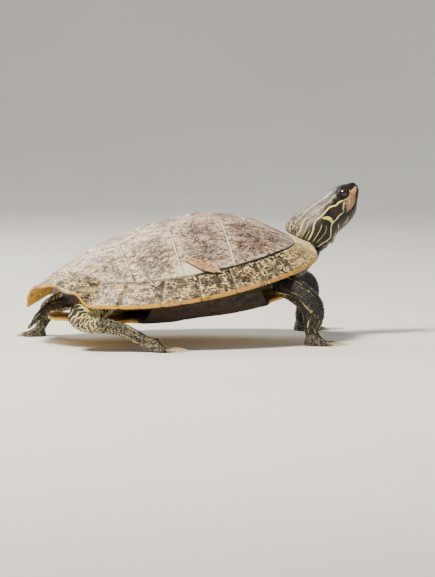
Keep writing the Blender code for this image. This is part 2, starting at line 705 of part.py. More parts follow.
def claw(name, start, way, length):
    """Make one curved claw that tapers to a point just over the floor."""
    across = np.array((-way[1], way[0], 0.0))
    rings = []
    for level in range(CLAW_LEVELS):
        along = level / (CLAW_LEVELS - 1)
        radius = CLAW_RADIUS * (1.0 - along) ** CLAW_TAPER + CLAW_TIP_RADIUS
        drop = (start[2] - radius - CLAW_FLOOR_AIR) * along ** 1.5
        place = start + way * length * along
        place[2] = max(place[2] + CLAW_ARCH * math.sin(math.pi * along) - drop, radius + CLAW_FLOOR_AIR)
        rings.append(section(place, way, across, radius * CLAW_NARROWNESS, radius, CLAW_POINTS))
    loft_body(name, rings, "claw")


# ---- the head --------------------------------------------------------------------
HEAD_TIP = np.array((145.8, 12.0, 115.0))
HEAD_TILT = math.radians(49.0)
HEAD_AXIS = np.array((math.cos(HEAD_TILT), 0.0, math.sin(HEAD_TILT)))
HEAD_UP = np.array((-math.sin(HEAD_TILT), 0.0, math.cos(HEAD_TILT)))
HEAD_SIDE = np.array((0.0, 1.0, 0.0))
# distance behind the tip, half width, height over the axis, depth under the axis
HEAD_STATIONS = (
    (0.0, 2.6, 2.4, 2.6), (0.9, 3.9, 3.4, 3.9), (3.0, 5.2, 4.6, 6.0), (6.5, 7.2, 7.3, 8.4),
    (9.5, 9.0, 9.3, 9.9), (12.5, 10.4, 10.6, 12.0), (17.0, 12.2, 11.9, 14.5), (22.0, 13.6, 12.8, 15.5),
    (28.0, 14.8, 14.6, 15.2), (33.0, 15.6, 17.0, 14.2), (38.5, 16.2, 19.4, 13.2))
EYE_PLACE = (12.6, 6.9, 4.3)              # behind the tip, to the side, over the axis
EYE_RADIUS = 4.1
MOUTH_HEIGHT = -7.2                       # of the mouth's line under the axis
MOUTH_CORNER = 23.5                       # its corner, behind the tip
BEAK_LENGTH = 21.0
BEAK_DEPTH = 6.6
TOOL_HALF = 20.0                          # half width of the boxes that part jaw, beak and skull
TOOL_FRONT = -4.0                         # their front, before the tip
TOOL_UNDER = -24.0                        # their underside, clear of the chin
HEAD_POINTS = 20
HEAD_SQUARENESS = 0.9                     # under 1 makes the head's rings boxier
EYE_SEGMENTS, EYE_RINGS = 14, 8
LIMB_POINTS = 12
TAIL_POINTS = 10


def head_point(behind, side, over):
    """Return a place in the world from distances in the head's own frame."""
    return HEAD_TIP - HEAD_AXIS * behind + HEAD_SIDE * side + HEAD_UP * over


def head_box(name, behind, side, over):
    """Make a box in the head's frame, used to cut it and then hidden."""
    points = []
    for back in behind:
        for across in side:
            for height in over:
                points.append(head_point(back, across, height))
    faces = [(0, 1, 3, 2), (4, 6, 7, 5), (0, 4, 5, 1), (2, 3, 7, 6), (0, 2, 6, 4), (1, 5, 7, 3)]
    box = new_object(name, points, faces, "skin")
    hide_cutter(box)
    return box


def hide_cutter(thing):
    """Mark an object as a cutting tool that isn't part of the model."""
    thing.hide_render = True
    thing.display_type = "WIRE"


def cut(body, tool, how):
    """Add an exact Boolean to a body."""
    modifier = body.modifiers.new(how.lower(), "BOOLEAN")
    modifier.operation = how
    modifier.solver = "EXACT"
    modifier.object = tool


def head_blank(name, kind):
    """Make the whole head, jaw and all, as one lofted solid."""
    return loft_body(name, [head_ring(*station) for station in HEAD_STATIONS], kind)


def eye_sphere(name, place, radius):
    """Make a ball at a place in the world, both in millimetres."""
    bpy.ops.mesh.primitive_uv_sphere_add(segments=EYE_SEGMENTS, ring_count=EYE_RINGS, radius=radius * MM,
                                         location=tuple(place * MM))
    ball = bpy.context.object
    ball.name = name
    return ball


def head():
    """Make the head, the upper beak, the lower jaw and the eyes."""
    wide = (-TOOL_HALF, TOOL_HALF)
    beak_top = MOUTH_HEIGHT + BEAK_DEPTH
    before, below = TOOL_FRONT - 1.0, TOOL_UNDER - 1.0
    jaw_tool = head_box("jaw_tool", (TOOL_FRONT, MOUTH_CORNER), wide, (TOOL_UNDER, MOUTH_HEIGHT - 0.5 * GAP))
    jaw_room = head_box("jaw_room", (before, MOUTH_CORNER + GAP), wide, (below, MOUTH_HEIGHT + 0.5 * GAP))
    beak_tool = head_box("beak_tool", (TOOL_FRONT, BEAK_LENGTH), wide, (MOUTH_HEIGHT + 0.5 * GAP, beak_top))
    beak_room = head_box("beak_room", (before, BEAK_LENGTH + GAP), wide, (MOUTH_HEIGHT - GAP, beak_top + GAP))
    skull = head_blank("head", "skin")
    cut(skull, jaw_room, "DIFFERENCE")
    cut(skull, beak_room, "DIFFERENCE")
    cut(head_blank("lower_jaw", "skin"), jaw_tool, "INTERSECT")
    cut(head_blank("upper_beak", "horn"), beak_tool, "INTERSECT")
    behind, across, over = EYE_PLACE
    for side, word in ((1, "left"), (-1, "right")):
        place = head_point(behind, side * across, over)
        ball = eye_sphere(f"eye_{word}", place, EYE_RADIUS)
        ball.data.materials.append(material("eye"))
        ball.data.shade_smooth()
        socket = eye_sphere(f"socket_{word}", place, EYE_RADIUS + GAP)
        hide_cutter(socket)
        cut(skull, socket, "DIFFERENCE")


def head_ring(behind, half, over, under):
    """Return a ring of the head across its axis."""
    ring = []
    for step in range(HEAD_POINTS):
        angle = 2.0 * math.pi * step / HEAD_POINTS
        cos, sin = math.cos(angle), math.sin(angle)
        wide = math.copysign(abs(cos) ** HEAD_SQUARENESS, cos) * half
        tall = math.copysign(abs(sin) ** HEAD_SQUARENESS, sin) * (over if sin > 0 else under)
        ring.append(head_point(behind, wide, tall))
    return ring


def neck_way(tilt, lean):
    """Return the way a ring of the neck faces, from degrees over the level and to the right."""
    tilt, lean = math.radians(tilt), math.radians(lean)
    return np.array((math.cos(tilt) * math.cos(lean), -math.sin(lean), math.sin(tilt) * math.cos(lean)))


def neck():
    """Make the neck, from the trunk's front face to the back of the head."""
    rings = [section(np.array((x, y, z)), neck_way(tilt, lean), HEAD_SIDE, half, depth, HEAD_POINTS)
             for x, y, z, tilt, lean, half, depth in NECK]
    behind, half, over, under = HEAD_STATIONS[-1]
    rings.append(head_ring(behind + GAP, half, over, under))
    loft_body("neck", rings, "skin")


def tail():
    """Make the short tail."""
    loft_body("tail", limb_rings(TAIL, (0.0, 1.0, 0.0), TAIL_POINTS)[0], "skin")


def root_plane(stations):
    """Return the flat on which a limb starts: its first place and its direction."""
    places = [row[:3] for row in densify(stations, LIMB_STEPS)]
    return places[0], tangents(places)[0]


def legs():
    """Make the four legs with their feet and claws."""
    down = (0.0, 0.0, -1.0)
    upright = (0.0, 0.0, 1.0)
    level = (0.0, 1.0, 0.0)
    along = (math.cos(RIGHT_HIND_HEADING), math.sin(RIGHT_HIND_HEADING), 0.0)
    plans = (("foreleg_right", RIGHT_FORELEG, level, down), ("foreleg_left", LEFT_FORELEG, level, down),
             ("hindleg_right", RIGHT_HINDLEG, upright, along), ("hindleg_left", LEFT_HINDLEG, level, down))
    for word, stations, across, end_way in plans:
        split_limb((f"{word}_upper", f"{word}_lower"), stations, KNEE_STATION, across, end_way)
    ankle = np.array(RIGHT_HINDLEG[-1][:3]) + GAP * np.array(along)
    foot("foreleg_right_foot", RIGHT_FORELEG[-1][:3], RIGHT_FORE_HEADING, FOREFOOT, FORE_TOES, FORE_CLAW)
    foot("foreleg_left_foot", LEFT_FORELEG[-1][:3], LEFT_FORE_HEADING, FOREFOOT, FORE_TOES, FORE_CLAW)
    foot("hindleg_right_foot", ankle, RIGHT_HIND_HEADING, RIGHT_HINDFOOT, HIND_TOES, RIGHT_HIND_CLAW)
    foot("hindleg_left_foot", LEFT_HINDLEG[-1][:3], LEFT_HIND_HEADING, LEFT_HINDFOOT, HIND_TOES,
         LEFT_HIND_CLAW)


def centre_on_floor():
    """Move the whole model so that its box is centred over the origin, on the floor."""
    bpy.context.view_layer.update()
    shown = [thing for thing in bpy.context.scene.objects if thing.type == "MESH" and not thing.hide_render]
    graph = bpy.context.evaluated_depsgraph_get()
    corners = []
    for thing in shown:
        corners += [thing.matrix_world @ vertex.co for vertex in thing.evaluated_get(graph).data.vertices]
    low = [min(corner[axis] for corner in corners) for axis in range(3)]
    high = [max(corner[axis] for corner in corners) for axis in range(3)]
    shift = Vector((-0.5 * (low[0] + high[0]), -0.5 * (low[1] + high[1]), -low[2]))
    for thing in bpy.context.scene.objects:
        if thing.type == "MESH":
            thing.location += shift


def main():
    """Build the turtle."""
    for thing in list(bpy.data.objects):
        bpy.data.objects.remove(thing, do_unlink=True)
    vertebral_plates()
    costal_plates()
    margin_band()
    plastron()
    limbs = (RIGHT_FORELEG, LEFT_FORELEG, RIGHT_HINDLEG, LEFT_HINDLEG, TAIL)
    roots = [root_plane(stations) for stations in limbs]
    roots.append((np.array(NECK[0][:3]), neck_way(*NECK[0][3:5])))
    trunk(roots)
    legs()
    neck()
    head()
    tail()
    centre_on_floor()


main()
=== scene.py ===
"""A life-size museum model of a basking red-eared slider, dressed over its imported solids.

The turtle stands on the floor with its head and neck raised. One skin covers the trunk, neck, head,
tail and legs. The shell plates, beak, eyes and claws are pieces of their own, and the legs carry
solid scales. Lengths below are millimetres in the frame in which the turtle was laid out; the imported
solids say where that frame stands.
"""
import logging
import math
from dataclasses import dataclass
from enum import Enum
from functools import reduce
from typing import Callable, Iterable, Sequence

import bmesh
import bpy
import numpy as np
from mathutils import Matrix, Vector, kdtree, noise
from mathutils.bvhtree import BVHTree

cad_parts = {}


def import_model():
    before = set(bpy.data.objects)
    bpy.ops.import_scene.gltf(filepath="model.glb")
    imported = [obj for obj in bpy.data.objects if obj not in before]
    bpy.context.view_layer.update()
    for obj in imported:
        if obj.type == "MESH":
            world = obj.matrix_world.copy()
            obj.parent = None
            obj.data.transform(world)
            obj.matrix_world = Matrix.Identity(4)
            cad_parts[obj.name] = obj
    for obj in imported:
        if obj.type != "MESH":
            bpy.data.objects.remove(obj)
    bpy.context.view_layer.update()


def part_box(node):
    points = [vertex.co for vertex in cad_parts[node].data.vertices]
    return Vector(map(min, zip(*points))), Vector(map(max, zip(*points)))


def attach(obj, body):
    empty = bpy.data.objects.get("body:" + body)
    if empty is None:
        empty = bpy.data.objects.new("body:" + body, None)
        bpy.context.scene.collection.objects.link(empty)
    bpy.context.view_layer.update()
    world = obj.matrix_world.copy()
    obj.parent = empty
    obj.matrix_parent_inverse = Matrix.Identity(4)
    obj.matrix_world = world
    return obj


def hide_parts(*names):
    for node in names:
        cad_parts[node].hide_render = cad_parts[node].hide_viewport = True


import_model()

MM = 0.001
LOG = logging.getLogger("turtle")
BORDER = 1e-4                             # how near 0 or 1 a grid's outermost vertices are
WELD = 0.00001                            # in metres, between vertices that become one
HALVINGS = 26
FAR = 1000.0
ON_FLOOR = (1.0, 1.0, 0.0)                # what a place is multiplied by to drop it to the floor
DOWN = (0.0, 0.0, -1.0)
EVEN = (1.0, 1.0, 1.0)                    # for noise that is not drawn out
FULL = (0.0, 1.0)                         # for patches that go from nothing to all
KERATIN_IOR = 1.54
SKIN_IOR = 1.45
CORNEA_IOR = 1.38
Piece = bpy.types.Object
Finish = bpy.types.Material
Points = np.ndarray
Numbers = Sequence[float]
Placing = Callable[[Points, Points], Points]
Value = bpy.types.NodeSocket | float | str | Numbers


class Slot(Enum):
    """The record's material slots."""

    DORSAL = "dorsal_scutes"
    MARGIN = "marginal_scutes"
    BELLY = "plastron_scutes"
    SKIN = "skin"
    BEAK = "beak_horn"
    CLAW = "claw_horn"
    EYE = "eye"


class Side(Enum):
    """The animal's two sides, as the sign of their y."""

    LEFT = 1
    RIGHT = -1

    @property
    def word(self) -> str:
        """Return the side's name in small letters."""
        return self.name.lower()


# ---- numbers and meshes ----------------------------------------------------------
def ramp(value: Points | float) -> Points:
    """Return an eased 0 to 1 ramp of values clipped to that range."""
    value = np.clip(value, 0.0, 1.0)
    return value * value * (3.0 - 2.0 * value)


def rise(value: Points | float, start: float, length: float) -> Points:
    """Return an eased rise from 0 to 1 that begins at a value and takes a length."""
    return ramp((value - start) / length)


def fade(value: Points | float, start: float, length: float) -> Points:
    """Return an eased fade from 1 to 0 that begins at a value and takes a length."""
    return 1.0 - rise(value, start, length)


def bisect(low: Points, high: Points, before: Callable[[Points], Points]) -> Points:
    """Return where a test stops holding between two bounds, by halving.

    Args:
        low: The lower bounds.
        high: The upper bounds.
        before: Whether the test holds at given places.

    Returns:
        Where it stops holding.
    """
    for _ in range(HALVINGS):
        middle = 0.5 * (low + high)
        held = before(middle)
        low, high = np.where(held, middle, low), np.where(held, high, middle)
    return 0.5 * (low + high)


def run_lengths(places: Points) -> Points:
    """Return how far along a path each of its places is."""
    return np.append(0.0, np.cumsum(np.linalg.norm(np.diff(places, axis=0), axis=1)))


def circle(count: int) -> Points:
    """Return so many even angles round a turn."""
    return 2.0 * math.pi * np.arange(count) / count


def blunted(angles: Points, power: float) -> tuple[Points, Points]:
    """Return the cosine and sine of angles, squarer for a power under 1."""
    cos, sin = np.cos(angles), np.sin(angles)
    return np.sign(cos) * np.abs(cos) ** power, np.sign(sin) * np.abs(sin) ** power


def eased(pairs: Sequence[Numbers], at: Points | float) -> Points:
    """Read a smooth curve through (place, value) pairs, flat past both ends.

    Args:
        pairs: The curve's points in order.
        at: Where to read it.

    Returns:
        The curve's values.
    """
    at = np.asarray(at, dtype=float)
    places = np.array([pair[0] for pair in pairs])
    values = np.array([pair[1] for pair in pairs], dtype=float)
    index = np.clip(np.searchsorted(places, at, side="right") - 1, 0, len(pairs) - 2)
    share = (at - places[index]) / (places[index + 1] - places[index])
    return values[index] + (values[index + 1] - values[index]) * ramp(share)


def unit(vectors: Points) -> Points:
    """Return vectors of length one."""
    vectors = np.asarray(vectors, dtype=float)
    return vectors / np.maximum(np.linalg.norm(vectors, axis=-1, keepdims=True), 1e-9)


def lumps(points: Points, size: float, seed: float = 0.0) -> Points:
    """Return smooth noise from -1 to 1 at points in millimetres.

    Args:
        points: Places, one a row.
        size: The lumps' size in millimetres.
        seed: Shifts the noise.

    Returns:
        One value a point.
    """
    shift = Vector((seed, 2.3 * seed, 0.7 * seed))
    return np.array([noise.noise(Vector(place) / size + shift) for place in points])


def densify(stations: Sequence[Numbers], steps: int) -> Points:
    """Return more stations along a smooth curve through the given ones (Catmull-Rom).

    Args:
        stations: The rows to pass through.
        steps: How many stations stand in for each one.

    Returns:
        More rows, the last one as given.
    """
    rows = [np.array(row, dtype=float) for row in stations]
    padded = [2.0 * rows[0] - rows[1]] + rows + [2.0 * rows[-1] - rows[-2]]
    dense = []
    for index in range(1, len(rows)):
        a, b, c, d = padded[index - 1:index + 3]
        for step in range(steps):
            t = step / steps
            dense.append(0.5 * (2.0 * b + (c - a) * t + (2.0 * a - 5.0 * b + 4.0 * c - d) * t * t
                                + (3.0 * b - a - 3.0 * c + d) * t ** 3))
    dense.append(rows[-1])
    return np.array(dense)


def layout_shift() -> Points:
    """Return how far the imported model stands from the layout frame, read from its two eyes."""
    middles = [0.5 * (sum(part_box(f"eye_{side.word}"), Vector())) / MM for side in Side]
    return np.array(sum(middles, Vector()) / 2.0) - head_place(np.array([EYE_CENTRE[0], 0.0, EYE_CENTRE[2]]))


# ---- the head's own frame --------------------------------------------------------
HEAD_TIP = np.array((145.8, 12.0, 115.0))
HEAD_TILT = math.radians(49.0)
HEAD_AXIS = np.array((math.cos(HEAD_TILT), 0.0, math.sin(HEAD_TILT)))
HEAD_UP = np.array((-math.sin(HEAD_TILT), 0.0, math.cos(HEAD_TILT)))
HEAD_SIDE = np.array((0.0, 1.0, 0.0))
EYE_CENTRE = (12.6, 6.9, 4.3)             # behind the snout, to the side, over the head's axis


def head_place(places: Points) -> Points:
    """Return layout places from (behind, side, over) in the head's frame."""
    places = np.asarray(places, dtype=float)
    return HEAD_TIP - places[..., :1] * HEAD_AXIS + places[..., 1:2] * HEAD_SIDE + places[..., 2:3] * HEAD_UP


def head_measure(points: Points) -> Points:
    """Return (behind, side, over) of layout places."""
    offset = np.asarray(points) - HEAD_TIP
    return np.stack((-offset @ HEAD_AXIS, offset @ HEAD_SIDE, offset @ HEAD_UP), axis=-1)


SHIFT = layout_shift()


def clear_selection() -> None:
    """Deselect every object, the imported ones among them."""
    for thing in bpy.context.selected_objects:
        thing.select_set(False)


def activate(piece: Piece) -> None:
    """Make a piece the only selected object and the active one."""
    clear_selection()
    piece.select_set(True)
    bpy.context.view_layer.objects.active = piece


def vectors(items: object, name: str) -> Points:
    """Return a vector of every item of a mesh's collection, one a row."""
    flat = np.empty(len(items) * 3)
    items.foreach_get(name, flat)
    return flat.reshape(-1, 3)


def read_points(piece: Piece) -> Points:
    """Return a piece's vertices in layout millimetres."""
    return vectors(piece.data.vertices, "co") / MM - SHIFT


def write_points(piece: Piece, points: Points) -> None:
    """Move a piece's vertices to layout places in millimetres."""
    piece.data.vertices.foreach_set("co", ((points + SHIFT) * MM).ravel())
    piece.data.update()


def read_normals(piece: Piece) -> Points:
    """Return a piece's vertex normals."""
    return vectors(piece.data.vertex_normals, "vector")


def raise_points(piece: Piece, height: Points) -> None:
    """Move a piece's vertices out along their normals, each by its own height in millimetres."""
    write_points(piece, read_points(piece) + read_normals(piece) * height[:, None])


def store(piece: Piece, **numbers: Points | float) -> None:
    """Store numbers for every vertex, by name, for the material to read."""
    for name, values in numbers.items():
        found = piece.data.attributes.get(name) or piece.data.attributes.new(name, "FLOAT", "POINT")
        found.data.foreach_set("value", np.full(len(found.data), values, dtype=np.float32))


def apply_modifier(piece: Piece, kind: str, **settings: object) -> None:
    """Add a modifier with its settings and apply it.

    Args:
        piece: The piece.
        kind: The modifier's type.
        settings: Its settings.
    """
    activate(piece)
    modifier = piece.modifiers.new(kind.lower(), kind)
    for name, value in settings.items():
        setattr(modifier, name, value)
    bpy.ops.object.modifier_apply(modifier=modifier.name)


def edit(piece: Piece, *steps: Callable[[], object]) -> None:
    """Run edit-mode steps on everything in a piece.

    Args:
        piece: The piece.
        steps: What to do, in order.
    """
    activate(piece)
    bpy.ops.object.mode_set(mode="EDIT")
    bpy.ops.mesh.select_all(action="SELECT")
    for step in steps:
        step()
    bpy.ops.object.mode_set(mode="OBJECT")


def face_outward() -> None:
    """Turn the selected faces outward."""
    bpy.ops.mesh.normals_make_consistent(inside=False)


def flip(piece: Piece) -> None:
    """Turn all faces of a sheet over."""
    edit(piece, lambda: bpy.ops.mesh.flip_normals())


def soften(piece: Piece, times: int) -> None:
    """Smooth a piece's vertices so many times."""
    edit(piece, lambda: bpy.ops.mesh.vertices_smooth(factor=0.5, repeat=times))


def thicken(piece: Piece, thickness: float) -> None:
    """Give a sheet its thickness in millimetres, inward, and turn its faces out."""
    apply_modifier(piece, "SOLIDIFY", thickness=thickness * MM, offset=-1.0)
    edit(piece, face_outward)


def grid_piece(name: str, columns: int, rows: int, place: Placing) -> Piece:
    """Add a grid and lay it over a surface.

    Args:
        name: The piece's name.
        columns: How many faces it has along u.
        rows: How many faces it has along v.
        place: Gives layout places for u and v, each from 0 to 1.

    Returns:
        The new piece, an open sheet.
    """
    clear_selection()
    bpy.ops.mesh.primitive_grid_add(x_subdivisions=columns, y_subdivisions=rows, size=2.0)
    piece = bpy.context.object
    piece.name = piece.data.name = name
    local = np.clip(vectors(piece.data.vertices, "co") * 0.5 + 0.5, 0.0, 1.0)
    write_points(piece, place(local[:, 0], local[:, 1]))
    return piece


def tube_piece(name: str, around: int, along: int, place: Placing) -> Piece:
    """Lay a grid round a closed loop, u round it and v along it, and close its seam and ends.

    Args:
        name: The piece's name.
        around: Faces round it.
        along: Faces along it.
        place: Gives layout places for u and v.

    Returns:
        The closed piece.
    """
    piece = grid_piece(name, around, along, place)
    edit(piece, lambda: bpy.ops.mesh.remove_doubles(threshold=WELD),
         lambda: bpy.ops.mesh.fill_holes(sides=0), face_outward)
    return piece


def ring_reader(rings: Points) -> Placing:
    """Return a place function over rings: u round a ring and v from the first ring to the last.

    Args:
        rings: The rings of points.

    Returns:
        The place function.
    """
    def place(u: Points, v: Points) -> Points:
        """Return places for u and v."""
        level = v * (len(rings) - 1)
        low = np.clip(np.floor(level + 1e-6).astype(int), 0, len(rings) - 2)
        turn = u * rings.shape[1]
        first = np.floor(turn + 1e-6).astype(int)
        share = (turn - first)[:, None]
        first, second = first % rings.shape[1], (first + 1) % rings.shape[1]
        lower = rings[low, first] * (1.0 - share) + rings[low, second] * share
        upper = rings[low + 1, first] * (1.0 - share) + rings[low + 1, second] * share
        rise = (level - low)[:, None]
        return lower * (1.0 - rise) + upper * rise
    return place


def loft(name: str, rings: Points) -> Piece:
    """Close rings of points, all with as many points, into one body."""
    return tube_piece(name, rings.shape[1], len(rings) - 1, ring_reader(rings))


def ovals(centres: Points, ways: Points, across: Points, half: Points, other: Points, count: int,
          power: float = 1.0) -> Points:
    """Return rings of points across a path.

    Args:
        centres: The rings' middles.
        ways: The way each ring faces.
        across: The way its first half width is measured.
        half: Half widths along that way.
        other: Half widths the other way.
        count: Points in a ring.
        power: Under 1 for a squarer oval.

    Returns:
        An array of rings of points.
    """
    across = unit(across - np.sum(across * ways, axis=-1, keepdims=True) * ways)
    other_way = np.cross(ways, across)
    wide, tall = blunted(circle(count), power)
    return (centres[:, None] + across[:, None] * (wide[None, :, None] * half[:, None, None])
            + other_way[:, None] * (tall[None, :, None] * other[:, None, None]))


def join(name: str, pieces: Iterable[Piece]) -> Piece:
    """Join pieces into one object of that name.

    Args:
        name: The piece's name.
        pieces: The pieces.

    Returns:
        The joined object.
    """
    pieces = list(pieces)
    activate(pieces[0])
    for piece in pieces:
        piece.select_set(True)
    if len(pieces) > 1:
        bpy.ops.object.join()
    joined = bpy.context.view_layer.objects.active
    joined.name = joined.data.name = name
    return joined


def tree_of(piece: Piece) -> BVHTree:
    """Return a ray-casting tree of a piece in layout millimetres."""
    points = [Vector(point) for point in read_points(piece)]
    return BVHTree.FromPolygons(points, [tuple(face.vertices) for face in piece.data.polygons])


def nearest(places: Points, points: Points) -> tuple[Points, Points]:
    """Return each point's distance to the nearest place, and that place's index.

    Args:
        places: The places to look among.
        points: Places in the layout.

    Returns:
        Distances, and indices.
    """
    tree = kdtree.KDTree(len(places))
    for index, place in enumerate(places):
        tree.insert(Vector(place), index)
    tree.balance()
    found = [tree.find(Vector(point)) for point in points]
    return np.array([hit[2] for hit in found]), np.array([hit[1] for hit in found])


def finish_piece(piece: Piece, material: Finish, slot: Slot, *nodes: str) -> Piece:
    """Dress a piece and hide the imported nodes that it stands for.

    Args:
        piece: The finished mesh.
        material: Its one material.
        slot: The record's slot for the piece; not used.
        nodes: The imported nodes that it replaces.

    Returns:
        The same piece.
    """
    piece.data.materials.clear()
    piece.data.materials.append(material)
    piece.data.shade_smooth()
    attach(piece, "root")
    if nodes:
        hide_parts(*nodes)
    piece.data.calc_loop_triangles()
    LOG.info("%s: %d triangles", piece.name, len(piece.data.loop_triangles))
    return piece


# ---- materials -------------------------------------------------------------------
def linear(colour: str) -> tuple[float, float, float, float]:
    """Turn an sRGB hex colour to linear red, green, blue and alpha."""
    parts = [int(colour[place:place + 2], 16) / 255.0 for place in (1, 3, 5)]
    return (*(part / 12.92 if part <= 0.04045 else ((part + 0.055) / 1.055) ** 2.4 for part in parts), 1.0)


def per_metre(size: float) -> float:
    """Return the texture scale that makes a pattern repeat every so many millimetres."""
    return 1.0 / (size * MM)


class Kind(Enum):
    """The kinds of node in use: type, inputs in the order they are given, the output taken, settings."""

    STORED = ("Attribute", (), "Fac", {})
    PLACE = ("TexCoord", (), "Object", {})
    MAPPED = ("Mapping", ("Vector", "Rotation", "Scale"), "Vector", {"vector_type": "TEXTURE"})
    NOISE = ("TexNoise", ("Vector", "Scale", "Detail", "Distortion"), "Fac", {})
    CELLS = ("TexVoronoi", ("Vector", "Scale", "Randomness"), "Distance", {"feature": "DISTANCE_TO_EDGE"})
    STEP = ("MapRange", ("Value", "From Min", "From Max", "To Min", "To Max"), "Result",
            {"interpolation_type": "SMOOTHSTEP"})
    TIMES = ("Math", (0, 1), 0, {"operation": "MULTIPLY"})
    PLUS = ("Math", (0, 1), 0, {"operation": "ADD"})
    OVER = ("Mix", (0, 6, 7), 2, {"data_type": "RGBA"})
    BUMP = ("Bump", ("Strength", "Distance", "Height", "Normal"), "Normal", {})


@dataclass
class Graph:
    """One material's node tree and the colour laid down so far."""

    material: Finish
    colour: Value

    @classmethod
    def named(cls, name: str, ground: str) -> "Graph":
        """Start a material of that name on a ground colour."""
        material = bpy.data.materials.new(name)
        material.use_nodes = True
        return cls(material, linear(ground))

    def feed(self, node: bpy.types.Node, values: dict[object, Value]) -> None:
        """Give a node's inputs a value each, or a socket, or by its name a vertex number of the piece.

        Args:
            node: The node.
            values: What feeds each input.
        """
        for name, value in values.items():
            if isinstance(value, str):
                value = self.node(Kind.STORED, attribute_name=value)
            if isinstance(value, bpy.types.NodeSocket):
                self.material.node_tree.links.new(value, node.inputs[name])
            else:
                node.inputs[name].default_value = value

    def node(self, kind: Kind, *values: Value, **settings: object) -> Value:
        """Add a node.

        Args:
            kind: What it does.
            values: What feeds its inputs, in the kind's order; the rest keep their defaults.
            settings: More of the node's own properties.

        Returns:
            The output that the kind names.
        """
        title, inputs, output, standing = kind.value
        made = self.material.node_tree.nodes.new(f"ShaderNode{title}")
        for name, value in {**standing, **settings}.items():
            setattr(made, name, value)
        self.feed(made, dict(zip(inputs, values)))
        return made.outputs[output]

    def joined(self, kind: Kind, *values: Value) -> Value:
        """Return values joined one after another by nodes of a kind."""
        return reduce(lambda one, two: self.node(kind, one, two), values)

    def spots(self, size: float, detail: float = 3.0, stretch: Numbers = EVEN,
              distortion: float = 0.0, rise: float = 0.0) -> Value:
        """Return noise from 0 to 1 on the piece.

        Args:
            size: How many millimetres its lumps are across.
            detail: How many finer layers it has.
            stretch: Under 1 for lumps drawn out along that axis.
            distortion: How much it swirls.
            rise: How steeply the lumps' long axis rises to the front.

        Returns:
            The noise.
        """
        longer = tuple(1.0 / share for share in stretch)
        mapped = self.node(Kind.MAPPED, self.node(Kind.PLACE), (0.0, -rise, 0.0), longer)
        return self.node(Kind.NOISE, mapped, per_metre(size), detail, distortion)

    def patches(self, size: float, low: float, high: float, out: Numbers = FULL,
                *rest: object) -> Value:
        """Return patches of noise that ease in from low to high; the rest is the noise's own."""
        return self.node(Kind.STEP, self.spots(size, *rest), low, high, *out)

    def shaken(self, value: Value, size: float, share: float, *rest: object) -> Value:
        """Return a value with a share of noise added and taken away; the rest is the noise's own."""
        centred = self.node(Kind.PLUS, self.spots(size, *rest), -0.5)
        return self.node(Kind.PLUS, value, self.node(Kind.TIMES, centred, share))

    def lay(self, colour: str, *shares: Value) -> None:
        """Lay a hex colour over what is there, by the product of its shares."""
        self.colour = self.node(Kind.OVER, self.joined(Kind.TIMES, *shares), self.colour, linear(colour))

    def relief(self, *layers: tuple[float, Value]) -> Value:
        """Return a normal raised by layers, each a depth in millimetres and a height from 0 to 1.

        Args:
            layers: Depths and heights, from the lowest layer up.

        Returns:
            The normal.
        """
        below: list[Value] = []
        for depth, height in layers:
            below = [self.node(Kind.BUMP, 1.0, depth * MM, height, *below)]
        return below[0]

    def finish(self, **values: Value) -> Finish:
        """Feed the shader the colour and its other inputs, whose names are written with underscores."""
        named = {name.replace("_", " "): value for name, value in values.items()}
        self.feed(self.material.node_tree.nodes["Principled BSDF"], {"Base Color": self.colour, **named})
        return self.material


